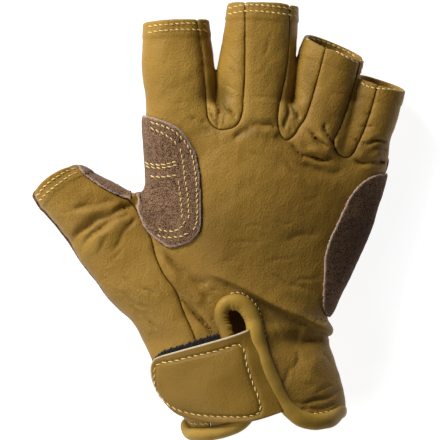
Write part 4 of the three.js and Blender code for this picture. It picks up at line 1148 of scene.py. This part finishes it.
# Stitches, as lines in the photograph's pixels; the last ones are on the palm side
stitch = {
    "pitch": 2.2, "fill": 0.88, "radius": 0.28, "rise": 0.288, "sink": 0.16, "end": 0.35, "rings": 6, "sides": 6,
    "slant": 14, "step": 0.1, "farAbove": 90, "farBelow": -40,
}
leatherStitches = [
    [(142.6, 28.3), (155, 26), (168, 25.3), (182, 24.2), (196, 24.2), (209, 25.2)],
    [(142.6, 34.5), (155, 32), (168, 31), (182, 30.2), (196, 30.4), (209.3, 31.5)],
    [(228, 9), (236, 6.8), (247.6, 5.6), (260, 6), (271.5, 7), (285, 8.6), (299, 11.4)],
    [(227.6, 14.6), (238, 12.6), (250, 11.8), (262, 12.4), (274, 13.6), (287, 15.2), (298.5, 17.6)],
    [(306, 38), (315, 38.6), (325, 41.2), (335, 45), (347, 50.5), (357, 57), (364, 63)],
    [(305, 38.9), (314, 41.6), (324.5, 46.3), (334, 51), (344.3, 56.6), (353, 61), (361.5, 65.6)],
    [(361, 82.5), (365, 85.5), (370, 87.6), (377, 88.8), (384, 89.4), (394, 90), (404, 91.3)],
    [(36.6, 196.4), (43, 188.4), (51.6, 180.9), (59.6, 175.5), (66.6, 171.6), (72.5, 169.4), (77, 168.4)],
    [(38.9, 201.4), (45.8, 194.2), (54.2, 187.4), (60.8, 182.4), (66.8, 178.2), (71.8, 175), (78, 172.6)],
    [(226, 297), (232.5, 292.6), (241, 292.6), (251, 299), (257.4, 307), (261.2, 316.6), (264.6, 330.7),
     (265.6, 341)],
    [(292.7, 406), (299.7, 410.8), (308.4, 412.6), (324.6, 411.5), (339.8, 408.4)],
    [(183, 420.6), (197, 423), (213, 422)],
]
suedeStitches = [
    [(180.3, 149), (182.6, 158), (185, 177.6), (188, 195), (189, 221)],
    [(190.2, 150), (194, 163), (196.4, 180), (197.3, 200), (196.8, 222), (192, 235)],
    [(178.5, 181), (180.6, 195), (182, 208), (182.6, 221)],
    [(144.8, 162.6), (157.4, 165.3), (168, 164), (179, 161)],
    [(145.5, 166.5), (160, 168.3), (172, 166.5), (181, 163.6)],
    [(144.8, 175.3), (155, 177), (167, 176.8), (178, 175)],
    [(158.5, 229), (166, 231.4), (174.6, 231), (182, 227), (186, 219)],
    [(157.4, 235), (165, 237.6), (173.5, 237.2), (183, 236), (189.5, 232)],
    [(150.5, 122.5), (162, 126), (174, 131.5), (184, 141), (190.2, 150)],
    [(150.5, 128), (162, 133.4), (172, 139.5), (180.3, 149)],
]
palmStitches = [
    [(146, 128), (190, 140), (250, 154), (310, 166), (360, 178)],
    [(330, 306), (300, 286), (250, 256), (190, 240), (158, 226)],
    [(60, 196), (90, 172), (120, 186)],
    [(120, 206), (132, 226), (140, 252)],
]
rng = np.random.default_rng(7)


# Surfaces of pieces, to drop threads on
def treeOf(*names):
    points, faces, start = [], [], 0
    for name in names:
        places, quads = surfaces[name]
        points += places.tolist()
        faces += (quads + start).tolist()
        start = len(points)
    return BVHTree.FromPolygons(points, faces)


# Threads as short bent grains along lines, dropped on what carries them: the middle line rises as the root of a
# half wave, and a ring of points goes round it
def makeStitches(name, lines, tree, below=False, pitch=stitch["pitch"], radius=stitch["radius"]):
    height, facing = (stitch["farBelow"], -1) if below else (stitch["farAbove"], 1)
    stride = int(round(pitch / stitch["step"]))
    length = int(stride * stitch["fill"])
    starts, ends, outs = [], [], []
    for line in lines:
        fine = smoothLine(fromPhoto(line), stitch["step"])
        for i in range(0, len(fine) - length, stride):
            (a, outA), (b, outB) = (
                tree.ray_cast(Vector((*fine[k], height)), Vector((0, 0, -facing)))[:2] for k in (i, i + length)
            )
            if a is None or b is None or abs(a.z - b.z) > 2 * pitch:
                continue
            out = (outA + outB).normalized()
            starts.append(a)
            ends.append(b)
            outs.append(out if out.z * facing > 0 else -out)
    starts, ends, outs = (np.array([tuple(v) for v in part]) for part in (starts, ends, outs))
    side = unit(np.cross(unit(ends - starts), outs))
    slant = np.radians(stitch["slant"]) * np.linalg.norm(ends - starts, axis=1, keepdims=True) / 2
    starts, ends = (v[:, None, None, :] for v in (starts - side * slant, ends + side * slant))
    side, outs = side[:, None, None, :], outs[:, None, None, :]
    rings, sides = stitch["rings"], stitch["sides"]
    t = np.linspace(0, 1, rings)[None, :, None, None]
    angle = np.linspace(0, 2 * np.pi, sides, endpoint=False)[None, None, :, None]
    wave = np.sqrt(np.sin(np.pi * t))
    thick = radius * (stitch["end"] + (1 - stitch["end"]) * wave)
    thick = thick * rng.uniform(0.9, 1.12, len(starts))[:, None, None, None]
    centre = starts * (1 - t) + ends * t + outs * (stitch["rise"] * wave - stitch["sink"])
    points = centre + (side * np.cos(angle) + outs * np.sin(angle)) * thick
    block = rings * sides
    shift = (np.arange(len(starts)) * block)[:, None]
    faces = (gridFaces(rings, sides, False, True)[:, ::-1] + shift[..., None]).reshape(-1, 4).tolist()
    faces += (np.arange(sides) + shift).tolist() + (np.arange(block - sides, block)[::-1] + shift).tolist()
    piece = addMesh(name, points.reshape(-1, 3), faces, paleThread)
    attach(piece, "root")
    print(f"piece: {name} {len(starts)} stitches")


suedeTree = treeOf("palm-suede-nap", "thumb-suede-nap")
makeStitches("leather-stitches", leatherStitches, treeOf(*leatherNames))
makeStitches("suede-stitches", suedeStitches, suedeTree)
makeStitches("strap-stitches", strapStitches, treeOf("closing-strap"), pitch=2.6, radius=0.27)
makeStitches("palm-stitches", palmStitches, suedeTree, below=True)
print("stage: stitches")

# Floor, lights and camera, in metres. The floor lies a little low, for the threads and the edging that stand proud
# of the underside
floorLook = {"size": 3.0, "drop": 0.0004, "colour": (0.36, 0.36, 0.36), "glow": 0.9}
lights = {
    "keyLight": {"place": (-0.55, 0.71, 0.45), "size": 0.5, "power": 14.0},
    "leftLight": {"place": (-0.40, -0.24, 0.34), "size": 0.36, "power": 1.45},
    "fillLight": {"place": (-0.1, 0.4, 1.2), "size": 0.9, "power": 0.3},
}
lightTarget = (0, 0, 0.015)
worldStrength = 0.09
view = {"distance": 2.4, "width": 0.176, "focusHeight": 0.018, "x": 0.00048, "y": 0.00019, "sensor": 36, "end": 20}


def addFloor():
    material, _, shader = newMaterial("paleFloor")
    setInputs(shader, {
        "Base Color": floorLook["colour"], "Roughness": 0.9, "Specular IOR Level": 0.1,
        "Emission Color": (1, 1, 1), "Emission Strength": floorLook["glow"],
    })
    size, low = floorLook["size"], -floorLook["drop"]
    corners = np.array([(-size, -size, low), (size, -size, low), (size, size, low), (-size, size, low)])
    floor = addMesh("floor", corners / toMetres, [(0, 1, 2, 3)], material)


def addLight(name, place, size, power):
    data = bpy.data.lights.new(name, "AREA")
    data.shape = "DISK"
    data.size = size
    data.energy = power
    light = bpy.data.objects.new(name, data)
    light.location = place
    light.rotation_euler = (Vector(lightTarget) - Vector(place)).to_track_quat("-Z", "Y").to_euler()
    bpy.context.scene.collection.objects.link(light)


def addCamera():
    data = bpy.data.cameras.new("photoCamera")
    data.sensor_width = view["sensor"]
    data.lens = data.sensor_width * view["distance"] / view["width"]
    data.clip_end = view["end"]
    camera = bpy.data.objects.new("photoCamera", data)
    camera.location = (view["x"], view["y"], view["distance"] + view["focusHeight"])
    bpy.context.scene.collection.objects.link(camera)
    bpy.context.scene.camera = camera


addFloor()
for name, values in lights.items():
    addLight(name, **values)
world = bpy.data.worlds.new("studio")
world.use_nodes = True
setInputs(world.node_tree.nodes["Background"], {"Color": (1, 1, 1), "Strength": worldStrength})
bpy.context.scene.world = world
bpy.context.scene.view_settings.view_transform = "Standard"
addCamera()
print("stage: floor, lights and camera")
